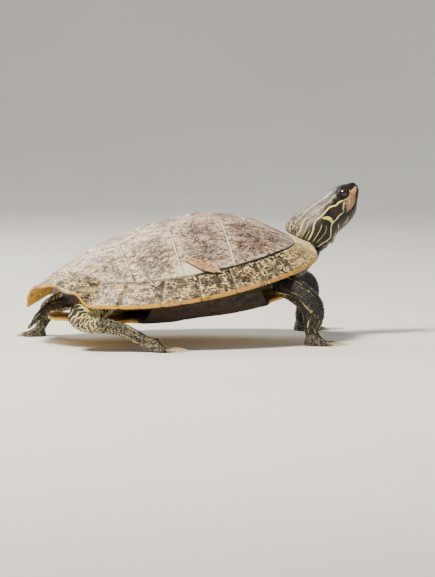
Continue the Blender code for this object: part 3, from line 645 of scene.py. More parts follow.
@dataclass(frozen=True)
class CarapaceKeratin:
    """Dry, weathered keratin of the back: satin purple-grey brown, bleached and dusty, with pale seams."""

    name: str = "weathered_carapace_keratin"
    dark: str = "#33251f"
    body: str = "#5c4a44"
    bloom: str = "#c0aa9c"
    dust: str = "#e4d49c"
    bare: str = "#e6d6bd"
    pale: str = "#dcc8b8"
    shade: str = "#3a2a2d"
    rust: str = "#a5622f"
    seam: str = "#efe4cb"
    crack: str = "#1a120c"
    cloud_size: float = 20.0
    stroke_size: float = 2.1
    stroke_rise: float = math.radians(48.0)
    seam_half: float = 0.44
    run: Numbers = (0.22, 1.0, 1.0)           # scuffs and strokes are drawn out along the shell
    short_run: Numbers = (0.5, 1.0, 1.0)

    def material(self) -> Finish:
        """Return the material; the eye gets a dusty plate that glares softly, with broken cream edges."""
        graph = Graph.named(self.name, self.dark)
        graph.lay(self.body, graph.patches(self.cloud_size, 0.36, 0.60, FULL, 4.0, EVEN, 0.5))
        graph.lay(self.bloom, graph.patches(4.6, 0.46, 0.60, (0.0, 0.8), 6.0, (0.55, 1.0, 1.0), 0.6))
        swirl = graph.spots(11.0, 1.5, distortion=2.2)
        graph.lay(self.rust, graph.node(Kind.STEP, swirl, 0.50, 0.53),
                  graph.node(Kind.STEP, swirl, 0.57, 0.60, 0.5, 0.0))
        graph.lay(self.dark, graph.patches(2.6, 0.50, 0.72, (0.0, 0.5), 4.0, self.run))
        stroke = graph.spots(self.stroke_size, 5.0, self.run, 0.3, self.stroke_rise)
        patch = graph.patches(13.0, 0.40, 0.62)
        worn = graph.node(Kind.PLUS, graph.node(Kind.TIMES, "dusty", graph.node(Kind.PLUS, patch, 0.35)),
                          graph.node(Kind.TIMES, patch, 0.22))
        chalk = graph.patches(6.5, 0.38, 0.60, (0.08, 1.0), 6.0, (0.45, 1.0, 1.0), 0.8)
        graph.lay(self.pale, chalk, "bleach")
        graph.lay(self.dust, graph.node(Kind.STEP, stroke, 0.51, 0.57), worn)
        graph.lay(self.dark, graph.node(Kind.STEP, stroke, 0.44, 0.50, 0.9, 0.0), "dusty")
        middle = graph.patches(15.0, 0.40, 0.56, (0.0, 0.55), 4.0, EVEN, 0.6)
        graph.lay(self.shade, graph.node(Kind.STEP, "edge", 3.0, 12.0), middle)
        graph.lay(self.bare, graph.node(Kind.STEP, "edge", 1.0, 8.0, 0.75, 0.0),
                  graph.patches(1.9, 0.46, 0.56, FULL, 6.0, (0.4, 1.0, 1.0)))
        graph.lay(self.dark, graph.patches(1.7, 0.53, 0.62, (0.0, 0.8), 6.0, self.short_run, 0.5))
        graph.lay(self.bare, graph.patches(0.9, 0.58, 0.65, (0.0, 0.85), 4.0, (0.6, 1.0, 1.0)))
        graph.lay(self.bare, "peeled")
        graph.lay(self.dark, graph.node(Kind.STEP, "edge", 0.6, 2.6, 0.5, 0.0))
        place = graph.shaken("edge", 1.4, 0.9)
        seam = graph.node(Kind.STEP, place, self.seam_half - 0.3, self.seam_half + 0.25, 1.0, 0.0)
        graph.lay(self.seam, seam, "pale_seam", graph.patches(4.0, 0.36, 0.50, (0.4, 1.0), 4.0))
        graph.lay(self.crack, graph.node(Kind.STEP, place, 0.35, 1.3, 1.0, 0.0), "crack")
        return graph.finish(Roughness=graph.patches(3.0, 0.3, 0.7, (0.30, 0.55), 5.0), IOR=KERATIN_IOR,
                            Normal=graph.relief((0.12, graph.spots(0.9, 6.0)),
                                                (0.22, graph.spots(3.2, 4.0, (0.3, 1.0, 1.0)))))


LIFTED_KERATIN = CarapaceKeratin(name="lifted_tan_keratin", dark="#8a6238", body="#b58a54", bloom="#c7a273",
                                 dust="#c8a878", bare="#cfb287", pale="#c9a67a")


@dataclass(frozen=True)
class MarginKeratin:
    """Keratin of the rim: grey-brown with cream blotches and dark smudges, over a golden lip."""

    pale: str = "#dec38a"
    speck: str = "#f5dc9c"
    grey: str = "#75614f"
    smudge: str = "#231815"
    lip: str = "#c8952a"
    seam: str = "#cfc2a0"
    run: Numbers = (0.6, 1.0, 1.0)
    short_run: Numbers = (0.7, 1.0, 1.0)

    def material(self) -> Finish:
        """Return the material; the eye gets mottled plates, darkest on the flank and palest in front."""
        graph = Graph.named("mottled_rim_keratin", self.smudge)
        cloud = graph.joined(Kind.PLUS, graph.spots(7.5, 6.0, self.run, 1.2),
                             graph.node(Kind.TIMES, "light", 0.16), graph.node(Kind.TIMES, "smudge", -0.16))
        graph.lay(self.grey, graph.node(Kind.STEP, cloud, 0.42, 0.56))
        graph.lay(self.pale, graph.node(Kind.STEP, cloud, 0.52, 0.72))
        graph.lay(self.smudge, graph.patches(13.0, 0.44, 0.50, (0.0, 0.85), 3.0, self.short_run, 0.8),
                  graph.node(Kind.STEP, "smudge", 0.0, 0.35))
        graph.lay(self.speck, graph.node(Kind.STEP, "light", 0.6, 1.0, 0.0, 0.8))
        cluster = graph.node(Kind.PLUS, graph.spots(5.0, 4.0), graph.node(Kind.TIMES, "light", 0.12))
        graph.lay(self.speck, graph.patches(1.2, 0.48, 0.58, FULL, 6.0, self.run, 0.6),
                  graph.node(Kind.STEP, cluster, 0.42, 0.60, 0.15, 1.0))
        graph.lay(self.smudge, graph.patches(1.0, 0.54, 0.64, (0.0, 0.7), 6.0, self.short_run))
        lip = graph.shaken("lip", 2.2, 0.7, 4.0)
        graph.lay(self.lip, graph.node(Kind.STEP, lip, 0.40, 0.65, 0.0, 0.95),
                  graph.patches(8.0, 0.36, 0.54, (0.4, 1.0), 4.0))
        graph.lay(self.seam, graph.node(Kind.STEP, graph.shaken("edge", 1.2, 0.8), 0.05, 0.5, 1.0, 0.0),
                  graph.patches(4.0, 0.38, 0.56, (0.1, 0.75)), "pale_seam")
        graph.lay(self.smudge, graph.node(Kind.STEP, "edge", 0.35, 1.3, 1.0, 0.0), "crack")
        return graph.finish(Roughness=graph.patches(3.0, 0.3, 0.7, (0.30, 0.55), 5.0), IOR=KERATIN_IOR,
                            Normal=graph.relief((0.10, graph.spots(0.8, 6.0)), (0.3, graph.spots(3.6, 4.0))))


@dataclass(frozen=True)
class BellyKeratin:
    """Smooth keratin of the plastron, the brightest yellow on the animal, with painted shade in dark brown on
    the bridges.
    """

    yellow: str = "#dcb040"
    stain: str = "#94691f"
    smudge: str = "#2e2110"
    shaded: str = "#2a1c0c"
    blot: str = "#0b0704"
    seam: str = "#5b431f"

    def material(self) -> Finish:
        """Return the material; the eye gets a polished yellow plate stained brown along its seams."""
        graph = Graph.named("polished_plastron_keratin", self.yellow)
        graph.lay(self.stain, graph.patches(14.0, 0.45, 0.68, (0.0, 0.6), 4.0, EVEN, 0.5))
        blot = graph.shaken("blot", 6.0, 1.2, 4.0)
        graph.lay(self.smudge, graph.node(Kind.STEP, blot, 0.45, 0.7, 0.0, 0.88))
        graph.lay(self.seam, graph.node(Kind.STEP, "edge", 0.15, 0.75, 0.85, 0.0))
        # painted shade: the bridges under the rim are laid dark brown, with near-black blots that are partly
        # their own mottling and partly painted shade
        shade = graph.shaken("bridge", 7.0, 0.9, 5.0, EVEN, 0.8)
        graph.lay(self.shaded, graph.node(Kind.STEP, shade, 0.15, 0.55))
        graph.lay(self.blot, graph.patches(4.5, 0.50, 0.62, FULL, 5.0, (0.6, 1.0, 1.0), 0.7), "bridge")
        rough = graph.node(Kind.PLUS, graph.patches(5.0, 0.3, 0.7, (0.3, 0.5), 5.0),
                           graph.node(Kind.TIMES, "bridge", 0.45))
        return graph.finish(Roughness=rough, IOR=KERATIN_IOR,
                            Normal=graph.relief((0.06, graph.spots(1.5, 5.0))))


@dataclass(frozen=True)
class SlickSkin:
    """Scaly freshwater reptile skin: near-black olive, slightly waxy, with thin cream-yellow lines."""

    black: str = "#0b0a08"
    olive: str = "#211f18"
    line: str = "#eadf86"
    faded: str = "#d3c59a"
    spot: str = "#e6d23c"
    pale: str = "#c4b48c"
    red: str = "#4a1c15"
    film: str = "#b3aaa6"
    grain_size: float = 0.8
    grain_chance: float = 0.9

    def material(self) -> Finish:
        """Return the material; the eye gets dark beaded skin with a wet edge and crisp yellow lines."""
        graph = Graph.named("beaded_olive_skin", self.black)
        graph.lay(self.olive, graph.patches(3.2, 0.38, 0.66, FULL, 4.0))
        speckle = graph.patches(1.5, 0.46, 0.6, FULL, 4.0, EVEN, 0.5)
        graph.lay(self.pale, "pale", speckle)
        # painted highlight: a pale grey sheen on the temples and crown, standing in for the key light's glare
        # on the head
        graph.lay(self.film, "film", graph.patches(0.9, 0.34, 0.60, (0.3, 1.0), 5.0))
        graph.lay(self.red, "blush")
        # painted shade: the skin round each eye is laid black for the shade in the eye socket
        graph.lay(self.black, "lid")
        tint = graph.node(Kind.OVER, "cream", linear(self.line), linear(self.faded))
        tint = graph.node(Kind.OVER, graph.node(Kind.TIMES, "cream", -1.0), tint, linear(self.spot))
        line = graph.node(Kind.STEP, graph.shaken("line", 1.1, 0.35, 2.0), -0.16, 0.12, 1.0, 0.0)
        faint = graph.joined(Kind.TIMES, graph.patches(2.8, 0.42, 0.62), "cream", -0.5)
        share = graph.node(Kind.TIMES, line, graph.node(Kind.PLUS, faint, 1.0))
        graph.colour = graph.node(Kind.OVER, share, graph.colour, tint)
        cells = graph.node(Kind.CELLS, graph.node(Kind.PLACE), per_metre(self.grain_size), self.grain_chance)
        beads = graph.node(Kind.TIMES, graph.node(Kind.STEP, cells, 0.0, 0.35), "beaded")
        dry = graph.node(Kind.PLUS, graph.patches(2.4, 0.3, 0.7, (0.22, 0.36), 4.0),
                         graph.node(Kind.TIMES, "beaded", 0.15))
        return graph.finish(Roughness=dry, IOR=SKIN_IOR,
                            Normal=graph.relief((0.16, beads), (0.03, graph.spots(0.5, 4.0))))


@dataclass(frozen=True)
class Horn:
    """Horn of the beak and claws: growth-layered, waxy and a little clear."""

    name: str
    root: str
    tip: str
    streak: str
    roughness: float = 0.34

    def material(self) -> Finish:
        """Return the material; the eye gets streaked horn that pales or darkens to its tip."""
        graph = Graph.named(self.name, self.root)
        graph.lay(self.tip, "tip")
        graph.lay(self.streak, graph.patches(1.2, 0.45, 0.7, (0.0, 0.6), 4.0, (1.0, 1.0, 0.3)))
        graph.lay(self.streak, "stain")
        return graph.finish(Normal=graph.relief((0.04, graph.spots(0.6, 4.0))), IOR=KERATIN_IOR,
                            Roughness=self.roughness)


BEAK_HORN = Horn("tan_beak_horn", "#bf9064", "#dcbd9c", "#5a3a20")
JAW_HORN = Horn("dark_jaw_horn", "#3a2c1f", "#5f4630", "#1d1710")
CLAW_HORN = Horn("pale_claw_horn", "#8a7a58", "#d6c9a2", "#4a3d2a", 0.38)


@dataclass(frozen=True)
class EyeGloss:
    """A living eye: dark iris with a thin brassy ring and a dark bar, under a clear wet cornea."""

    pupil: str = "#040403"
    # painted shade: iris, brass ring and white are all near black, darker than a slider's yellow-green iris,
    # for the eye in shade; the dark bar and pupil are its own
    iris: str = "#120f08"
    brass: str = "#54481e"
    white: str = "#100d08"
    roughness: float = 0.25
    wet: float = 0.02

    def material(self) -> Finish:
        """Return the material; the eye gets a deep dark ball with one sharp glint."""
        graph = Graph.named("wet_eye", self.iris)
        graph.lay(self.brass, graph.patches(0.5, 0.35, 0.7, (0.0, 0.35), 4.0))
        graph.lay(self.brass, graph.node(Kind.STEP, "gaze", 0.34, 0.38),
                  graph.node(Kind.STEP, "gaze", 0.41, 0.46, 0.8, 0.0))
        graph.lay(self.pupil, graph.node(Kind.STEP, "bar", 0.16, 0.30, 0.92, 0.0))
        graph.lay(self.pupil, graph.node(Kind.STEP, "gaze", 0.31, 0.35, 1.0, 0.0))
        graph.lay(self.white, graph.node(Kind.STEP, "gaze", 0.80, 0.92))
        return graph.finish(Roughness=self.roughness, IOR=CORNEA_IOR, Coat_Weight=1.0,
                            Coat_Roughness=self.wet, Coat_IOR=CORNEA_IOR)


@dataclass(frozen=True)
class MattePaper:
    """The studio's paper: pale, dry and nearly even."""

    cool: str = "#e4e4e1"
    warm: str = "#e8e8e5"
    roughness: float = 0.9

    def material(self) -> Finish:
        """Return the material; the eye gets a quiet ground that takes a soft shadow."""
        graph = Graph.named("pale_matte_paper", self.cool)
        graph.lay(self.warm, graph.patches(220.0, 0.3, 0.7, FULL, 2.0))
        return graph.finish(Roughness=self.roughness)


# ---- the shell's shape -----------------------------------------------------------
MARGIN_SEAMS = (0.03, 0.105, 0.18, 0.26, 0.335, 0.415, 0.50, 0.587, 0.684, 0.765, 0.845, 0.925, 1.0)
VERTEBRAL_SEAMS = (0.075, 0.23, 0.42, 0.60, 0.775, 0.93)
VERTEBRAL_CORNERS = (0.15, 0.325, 0.51, 0.685, 0.90)
VERTEBRAL_SEAM_HALF = (0.085, 0.088, 0.090, 0.085, 0.062, 0.125)
VERTEBRAL_CORNER_HALF = (0.108, 0.118, 0.120, 0.110, 0.128)
COSTAL_TOP = (0.075, 0.325, 0.51, 0.685, 0.93)
COSTAL_FOOT_TURNS = (0.092, 0.395, 0.537, 0.668, 0.878)
SEAM_GAP = 0.04                           # between neighbouring plates


@dataclass(frozen=True)
class ShellShape:
    """The carapace and plastron as formulas, in the shell's own level frame."""

    length: float = 220.0
    width_share: float = 0.772
    rise_share: float = 0.217
    crown_share: float = 0.099
    fullness: float = 2.12
    squareness: float = 0.887
    widening: float = 0.048
    wave: tuple[float, ...] = (-0.0256, 0.0255, -0.0053)
    pitch: float = math.radians(10.2)
    lift: float = 43.4
    band_reach: float = 0.84
    front_lip: float = 0.026
    front_lip_start: float = 0.04
    front_lip_length: float = 0.10
    serration: float = 0.018
    toothed_from: float = 0.60
    lip_thickness: float = 2.2
    undercut: float = 8.2
    band_least: float = 2.0
    front_right: tuple = ((0.0, 8.0), (0.03, 5.6), (0.06, 1.6), (0.14, 0.4), (0.24, 0.0))
    front_left: tuple = ((0.0, 8.0), (0.05, 9.4), (0.10, 8.0), (0.18, 2.5), (0.26, 0.0))
    rear_right: tuple = ((0.765, 0.0), (0.79, 9.0), (0.86, 12.5), (0.93, 9.0), (1.0, 2.5))
    rear_left: tuple = ((0.80, 0.0), (0.88, -1.5), (0.95, -8.5), (0.975, -7.5), (1.0, 1.0))
    plastron_thickness: float = 3.4
    plastron_depth: tuple = ((0.06, 19.0), (0.16, 23.0), (0.35, 24.0), (0.55, 21.5), (0.75, 17.0),
                             (0.93, 8.5))
    plastron_half: tuple = ((0.065, 0.085), (0.09, 0.135), (0.16, 0.18), (0.24, 0.215), (0.30, 0.23),
                            (0.70, 0.190), (0.78, 0.178), (0.85, 0.155), (0.90, 0.112), (0.932, 0.05))
    bridge_span: tuple[float, float] = (0.285, 0.64)
    bridge_flare: tuple[float, float] = (0.215, 0.715)
    bridge_start: float = 0.26
    bridge_reach: float = 0.90
    bridge_gap: float = 0.6
    middle_reach: float = 0.8                 # between the crown and the rim, where bearings are taken

    def rim_lift(self, turn: Points, side: Points) -> Points:
        """Return the rim's extra lift at a turn, over the legs and under the rear flap."""
        front = np.where(side < 0, eased(self.front_right, turn), eased(self.front_left, turn))
        rear = np.where(side < 0, eased(self.rear_right, turn), eased(self.rear_left, turn))
        return np.where(turn < 0.5, front, rear)

    def rim_scale(self, turn: Points) -> Points:
        """Return how far the rim stands out: a lip in front, a tooth to each plate behind.

        Args:
            turn: Where along the rim, 0 in front and 1 behind.

        Returns:
            Shares of the plain rim, about 1.
        """
        seams = np.array(MARGIN_SEAMS)
        index = np.clip(np.searchsorted(seams, turn, side="right") - 1, 0, len(seams) - 2)
        along = np.clip((turn - seams[index]) / (seams[index + 1] - seams[index]), 0.0, 1.0)
        tooth = np.sin(math.pi * along ** 1.6) - 0.55
        grown = 1.0 + self.serration * tooth * ramp((turn - self.toothed_from) / 0.15)
        lip = 1.0 + self.front_lip * (1.0 - ramp((turn - self.front_lip_start) / self.front_lip_length))
        return np.where(turn < self.toothed_from, lip, grown)

    def point(self, reach: Points | float, turn: Points | float, side: Points | float) -> Points:
        """Return points on the upper face.

        Args:
            reach: 0 at the crown, 1 at the rim.
            turn: 0 at the front, 1 at the back.
            side: 1 for the left, -1 for the right.

        Returns:
            Points in the shell's frame.
        """
        reach, turn, side = np.broadcast_arrays(np.asarray(reach, float), np.asarray(turn, float),
                                                np.asarray(side, float))
        angle = math.pi * turn
        rim_x = 0.5 * self.length * np.cos(angle)
        rim_y = 0.5 * self.length * self.width_share * np.abs(np.sin(angle)) ** self.squareness
        rim_y = rim_y * (1.0 - self.widening * np.cos(angle))
        wave = sum(share * np.cos((order + 1) * angle) for order, share in enumerate(self.wave))
        outer = np.clip((reach - self.band_reach) / (1.0 - self.band_reach), 0.0, None)
        spread = reach * (1.0 + (self.rim_scale(turn) - 1.0) * outer)
        crown = self.crown_share * self.length
        x = crown + (rim_x - crown) * spread
        z = wave * self.length * reach ** 2 + self.rim_lift(turn, side) * reach ** 5
        z = z + self.rise_share * self.length * np.maximum(0.0, 1.0 - reach ** self.fullness)
        return np.stack((x, side * rim_y * spread, z), axis=-1)

    def polar(self, x: Points, y: Points) -> tuple[Points, Points, Points]:
        """Return (reach, turn, side) of places in plan.

        Args:
            x: Places along.
            y: Places across.

        Returns:
            Reaches, turns and sides.
        """
        side = np.where(y < 0, -1.0, 1.0)
        crown = self.crown_share * self.length
        bearing = np.arctan2(np.abs(y), x - crown)

        def before(middle: Points) -> Points:
            """Return whether a turn's bearing from the crown is less than the place's."""
            edge = self.point(self.middle_reach, middle, side)
            return np.arctan2(np.abs(edge[..., 1]), edge[..., 0] - crown) < bearing

        turn = bisect(np.zeros_like(x), np.ones_like(x), before)
        edge = self.point(self.middle_reach, turn, side)
        reach = self.middle_reach * np.hypot(x - crown, y) / np.hypot(edge[..., 0] - crown, edge[..., 1])
        return np.minimum(reach, 1.0), turn, side

    def dome(self, x: Points, y: Points) -> Points:
        """Return points on the dome over places in plan."""
        return np.stack((x, y, self.point(*self.polar(x, y))[..., 2]), axis=-1)

    def world(self, points: Points) -> Points:
        """Tilt and lift points from the shell's frame to the layout."""
        cos, sin = math.cos(self.pitch), math.sin(self.pitch)
        x, y, z = np.moveaxis(points, -1, 0)
        return np.stack((x * cos - z * sin, y, x * sin + z * cos + self.lift), axis=-1)

    def level(self, points: Points) -> Points:
        """Turn layout points back to the shell's frame.

        Args:
            points: Places in the layout.

        Returns:
            Places in the shell's frame.
        """
        cos, sin = math.cos(self.pitch), math.sin(self.pitch)
        x, y, z = np.moveaxis(points, -1, 0)
        z = z - self.lift
        return np.stack((x * cos + z * sin, y, -x * sin + z * cos), axis=-1)

    def band_limit(self, y: Points, rear: bool) -> Points:
        """Return the station at which the rim band's inner edge crosses y.

        Args:
            y: Places across.
            rear: Whether the rear crossing is meant.

        Returns:
            Stations.
        """
        start = 0.5 if rear else 0.0
        turn = bisect(np.full_like(y, start), np.full_like(y, start + 0.5), lambda middle: rear == (
            np.abs(self.point(self.band_reach, middle, -1.0)[..., 1]) > np.abs(y)))
        return 0.5 - self.point(self.band_reach, turn, -1.0)[..., 0] / self.length

    def back_x(self, station: Points, y: Points) -> Points:
        """Return x for stations of the vertebral row, whose ends follow the rim band.

        Args:
            station: 0 at the front of the shell, 1 at its back.
            y: Places across.

        Returns:
            Places along.
        """
        first, second = VERTEBRAL_SEAMS[0], VERTEBRAL_SEAMS[1]
        last, end = VERTEBRAL_SEAMS[-2], VERTEBRAL_SEAMS[-1]
        front = self.band_limit(y, False)
        rear = self.band_limit(y, True)
        ahead = front + (station - first) / (second - first) * (second - front)
        behind = last + (station - last) / (end - last) * (rear - last)
        station = np.where(station < second, ahead, np.where(station > last, behind, station))
        return self.length * (0.5 - station)

    def vertebral_half(self, station: Points) -> Points:
        """Return the half width of the vertebral row at stations."""
        places = sorted(list(zip(VERTEBRAL_SEAMS, VERTEBRAL_SEAM_HALF))
                        + list(zip(VERTEBRAL_CORNERS, VERTEBRAL_CORNER_HALF)))
        return self.length * np.interp(station, *zip(*places))

    def under_band(self, turn: Points, side: Points, share: Points) -> Points:
        """Return points under the rim band, share 0 at its lip and 1 at its inner edge.

        Args:
            turn: Where along the rim, 0 in front and 1 behind.
            side: Which side, or for numbers 1 for the left and -1 for the right.
            share: 0 at the lip and 1 at the inner edge.

        Returns:
            Points in the shell's frame.
        """
        edge = self.point(1.0, turn, side)
        inner = self.point(self.band_reach + 0.003, turn, side)
        place = edge + (inner - edge) * share[..., None]
        slope = edge[..., 2] - self.lip_thickness + self.undercut * share
        top = self.point(1.0 - share * (1.0 - self.band_reach), turn, side)[..., 2]
        place[..., 2] = np.minimum(slope, top - self.band_least)
        return place

    def bridge_rim(self, station: Points, side: Points) -> Points:
        """Return the bridge's top, where it meets the rim band.

        Args:
            station: 0 at the front of the shell, 1 at its back.
            side: Which side, or for numbers 1 for the left and -1 for the right.

        Returns:
            Points in the shell's frame.
        """
        x = self.length * (0.5 - station)
        turn = bisect(np.zeros_like(x), np.ones_like(x),
                      lambda middle: self.point(self.band_reach, middle, side)[..., 0] > x)
        share = np.full_like(x, (1.0 - self.bridge_reach) / (1.0 - self.band_reach))
        place = self.under_band(turn, side, share)
        place[..., 2] -= self.bridge_gap
        return place

    def belly_face(self, station: Points, y: Points) -> Points:
        """Return heights of the plastron's upper face.

        Args:
            station: 0 at the front of the shell, 1 at its back.
            y: Places across.

        Returns:
            Heights.
        """
        flat = self.plastron_thickness - eased(self.plastron_depth, station)
        start = self.bridge_start * self.length
        rim = self.bridge_rim(np.clip(station, *self.bridge_span), np.where(y < 0, -1.0, 1.0))
        climb = np.clip((np.abs(y) - start) / (np.abs(rim[..., 1]) - start), 0.0, 1.0)
        return flat + (rim[..., 2] - flat) * climb ** 1.5

    def belly_half(self, station: Points) -> Points:
        """Return the plastron's half width at stations, wide over the bridges.

        Args:
            station: 0 at the front of the shell, 1 at its back.

        Returns:
            Half widths.
        """
        lobe = self.length * np.interp(station, *zip(*self.plastron_half))
        wide = np.abs(self.bridge_rim(np.clip(station, *self.bridge_span), -np.ones_like(station))[..., 1])
        ahead = ramp((station - self.bridge_flare[0]) / (self.bridge_span[0] - self.bridge_flare[0]))
        behind = ramp((self.bridge_flare[1] - station) / (self.bridge_flare[1] - self.bridge_span[1]))
        return lobe + (wide - lobe) * np.minimum(ahead, behind)


# ---- the shell's plates ----------------------------------------------------------
@dataclass
class Carapace:
    """The thirteen big plates of the back and the peeling flake on the right flank."""

    shape: ShellShape
    thickness: float = 2.6
    rows: int = 44
    columns: int = 40
    groove_depth: float = 0.55
    groove_width: float = 1.5
    ring_pitch: float = 2.1
    ring_height: float = 0.035
    unevenness: float = 0.36
    knob_height: float = 0.9
    knob_half: float = 5.0
    flake_thickness: float = 0.45

    def relief(self, piece: Piece, flow: Points, seed: float, foot: bool = False) -> None:
        """Emboss a plate: sunk at its borders, with growth rings, wrinkles and slow unevenness.

        Args:
            piece: The plate as an open sheet.
            flow: For each vertex, 0 to 1 along and across the plate.
            seed: Makes the plate's noise its own.
            foot: Whether its last edge along u meets the rim.
        """
        points = read_points(piece)
        border = (flow.min(axis=1) < BORDER) | (flow.max(axis=1) > 1.0 - BORDER)
        edge, which = nearest(points[border], points)
        rim = (flow[border][:, 0] > 1.0 - BORDER) & foot
        cross = (flow[border][:, 1] < BORDER) | (flow[border][:, 1] > 1.0 - BORDER)
        store(piece, pale_seam=np.where(rim, 0.12, np.where(cross, 1.0, 0.55))[which])
        along = self.shape.level(points[border])[:, 0]
        split = rim * rise(along, -2.0, 8.0) * fade(along, 74.0, 8.0) * (points[border][:, 1] < 0.0)
        store(piece, crack=(0.2 * rim + 0.8 * split)[which])
        level = self.shape.level(points)
        slow = lumps(level, 22.0, seed) * self.unevenness
        wrinkle = lumps(level * (0.22, 1.0, 1.0), 2.6, seed + 4.0) * 0.13
        wobble = lumps(level, 7.0, seed + 9.0) * 2.2
        ring = np.sin(2.0 * math.pi * (edge + wobble) / self.ring_pitch) * self.ring_height
        ring = ring * ramp(0.5 + lumps(level, 9.0, seed + 2.0))
        inside = ramp(edge / self.groove_width)
        height = (slow + wrinkle + ring * ramp(edge / 3.0) * fade(edge, 13.0, 6.0)) * inside
        height = height - self.groove_depth * (1.0 - inside)
        raise_points(piece, height)
        store(piece, edge=edge)

    def weather(self, piece: Piece) -> None:
        """Store where a plate is dusty and where its old layer has peeled off.

        Args:
            piece: The piece.
        """
        level = self.shape.level(read_points(piece))
        rear = ramp((30.0 - level[:, 0]) / 80.0)
        low = rise(np.abs(level[:, 1]), 20.0, 40.0)
        store(piece, dusty=np.clip(0.12 + 0.95 * rear * (0.35 + 0.65 * low), 0.0, 1.0))
        high = ramp((62.0 - np.abs(level[:, 1])) / 40.0)
        spine = 0.4 * ramp((26.0 - np.abs(level[:, 1])) / 12.0)
        bleach = ramp((62.0 - level[:, 0]) / 100.0) * (0.35 + 0.65 * high) + spine
        store(piece, bleach=np.clip(bleach, 0.0, 0.8))
        away = np.hypot((level[:, 0] + 1.0) / 11.0, (level[:, 1] + 67.0) / 6.5)
        away = away + 0.3 * lumps(level, 4.0, 3.0)
        store(piece, peeled=0.9 * fade(away, 0.7, 0.3))

    def vertebral(self, index: int, keratin: Finish) -> Piece:
        """Build one plate of the middle row, a low knob near its rear edge.

        Args:
            index: Its place in the row, from 0.
            keratin: Its finish.

        Returns:
            The finished plate.
        """
        start, end = VERTEBRAL_SEAMS[index], VERTEBRAL_SEAMS[index + 1]
        corner = (VERTEBRAL_CORNERS[index] - start) / (end - start)

        def place(u: Points, v: Points) -> Points:
            """Return places for u and v."""
            share = np.where(v < 0.5, v * 2.0 * corner, corner + (v - 0.5) * 2.0 * (1.0 - corner))
            station = start + (end - start) * share
            y = (self.shape.vertebral_half(station) - 0.5 * SEAM_GAP) * (2.0 * u - 1.0)
            x = self.shape.back_x(station, y) + SEAM_GAP * (0.5 - share)
            return self.shape.world(self.shape.dome(x, y))

        piece = grid_piece(f"vertebral_scute_{index + 1}", self.columns, self.rows, place)
        flat = self.parameters()
        share = flat[:, 1]
        across = self.shape.level(read_points(piece))[:, 1] / self.knob_half
        knob = self.knob_height * np.exp(-across ** 2) * rise(share, 0.35, 0.5)
        raise_points(piece, knob * fade(share, 0.9, 0.1))
        self.relief(piece, flat, 10.0 + index)
        return self.dress(piece, keratin, f"vertebral_{index + 1}")

    def costal(self, side: Side, index: int, keratin: Finish) -> Piece:
        """Build one large flank plate, from the middle row down to the rim band.

        Args:
            side: Which side, or for numbers 1 for the left and -1 for the right.
            index: Its place in the row, from 0.
            keratin: Its finish.

        Returns:
            The finished plate.
        """
        begin, finish = COSTAL_TOP[index], COSTAL_TOP[index + 1]
        kinks = [place for place in sorted(VERTEBRAL_SEAMS + VERTEBRAL_CORNERS) if begin < place < finish]
        stops = [begin, *kinks, finish]
        foot = (COSTAL_FOOT_TURNS[index], COSTAL_FOOT_TURNS[index + 1])

        def place(u: Points, v: Points) -> Points:
            """Return places for u and v."""
            station = np.interp(v, np.linspace(0.0, 1.0, len(stops)), stops)
            along = (station - begin) / (finish - begin)
            half = self.shape.vertebral_half(station) + 0.5 * SEAM_GAP
            high = np.stack((self.shape.back_x(station, half), side.value * half), axis=-1)
            turn = foot[0] + along * (foot[1] - foot[0])
            low = self.shape.point(self.shape.band_reach - 0.0005, turn, float(side.value))[:, :2]
            plan = high + (low - high) * u[:, None]
            plan[:, 0] += SEAM_GAP * (0.5 - along)
            return self.shape.world(self.shape.dome(plan[:, 0], plan[:, 1]))

        piece = grid_piece(f"costal_scute_{side.word}_{index + 1}", self.columns + 8, self.rows + 6, place)
        self.relief(piece, self.parameters(8, 6), 30.0 + 5.0 * index + side.value, foot=True)
        return self.dress(piece, keratin, f"costal_{side.word}_{index + 1}")

    def parameters(self, wider: int = 0, longer: int = 0) -> Points:
        """Return (u, v) of a fresh grid's vertices, in their order."""
        u, v = np.meshgrid(np.linspace(0.0, 1.0, self.columns + wider + 1),
                           np.linspace(0.0, 1.0, self.rows + longer + 1))
        return np.stack((u.ravel(), v.ravel()), axis=-1)

    def dress(self, piece: Piece, keratin: Finish, node: str) -> Piece:
        """Orient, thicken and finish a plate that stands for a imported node.

        Args:
            piece: The piece.
            keratin: Its finish.
            node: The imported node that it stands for.

        Returns:
            The finished plate.
        """
        if np.mean(read_normals(piece)[:, 2]) < 0.0:
            flip(piece)
        thicken(piece, self.thickness)
        self.weather(piece)
        return finish_piece(piece, keratin, Slot.DORSAL, node)

    def flake(self) -> Piece:
        """Build the flake of old keratin that lifts off the right flank, curled at its free edge."""
        spine = np.array(((-2.0, -60.6), (3.5, -63.0), (9.0, -66.2), (15.0, -69.3), (21.5, -71.2)))
        half = np.array((0.5, 3.0, 3.9, 2.5, 0.3))
        lift = np.array((0.5, 1.5, 1.9, 1.2, 0.3))

        def place(u: Points, v: Points) -> Points:
            """Return places for u and v."""
            at = v * (len(spine) - 1)
            middle = np.stack([np.interp(at, range(len(spine)), spine[:, axis]) for axis in (0, 1)], axis=-1)
            wide = np.interp(at, range(len(spine)), half) * (2.0 * u - 1.0)
            plan = middle + wide[:, None] * unit(np.array((0.35, 1.0)))
            face = self.shape.world(self.shape.dome(plan[:, 0], plan[:, 1]))
            curl = np.interp(at, range(len(spine)), lift) * (0.15 + 0.85 * ramp(1.15 - u)) + 0.25
            return face + unit(np.array((0.0, -0.62, 0.78))) * (curl + 0.2 * np.sin(9.0 * v))[:, None]

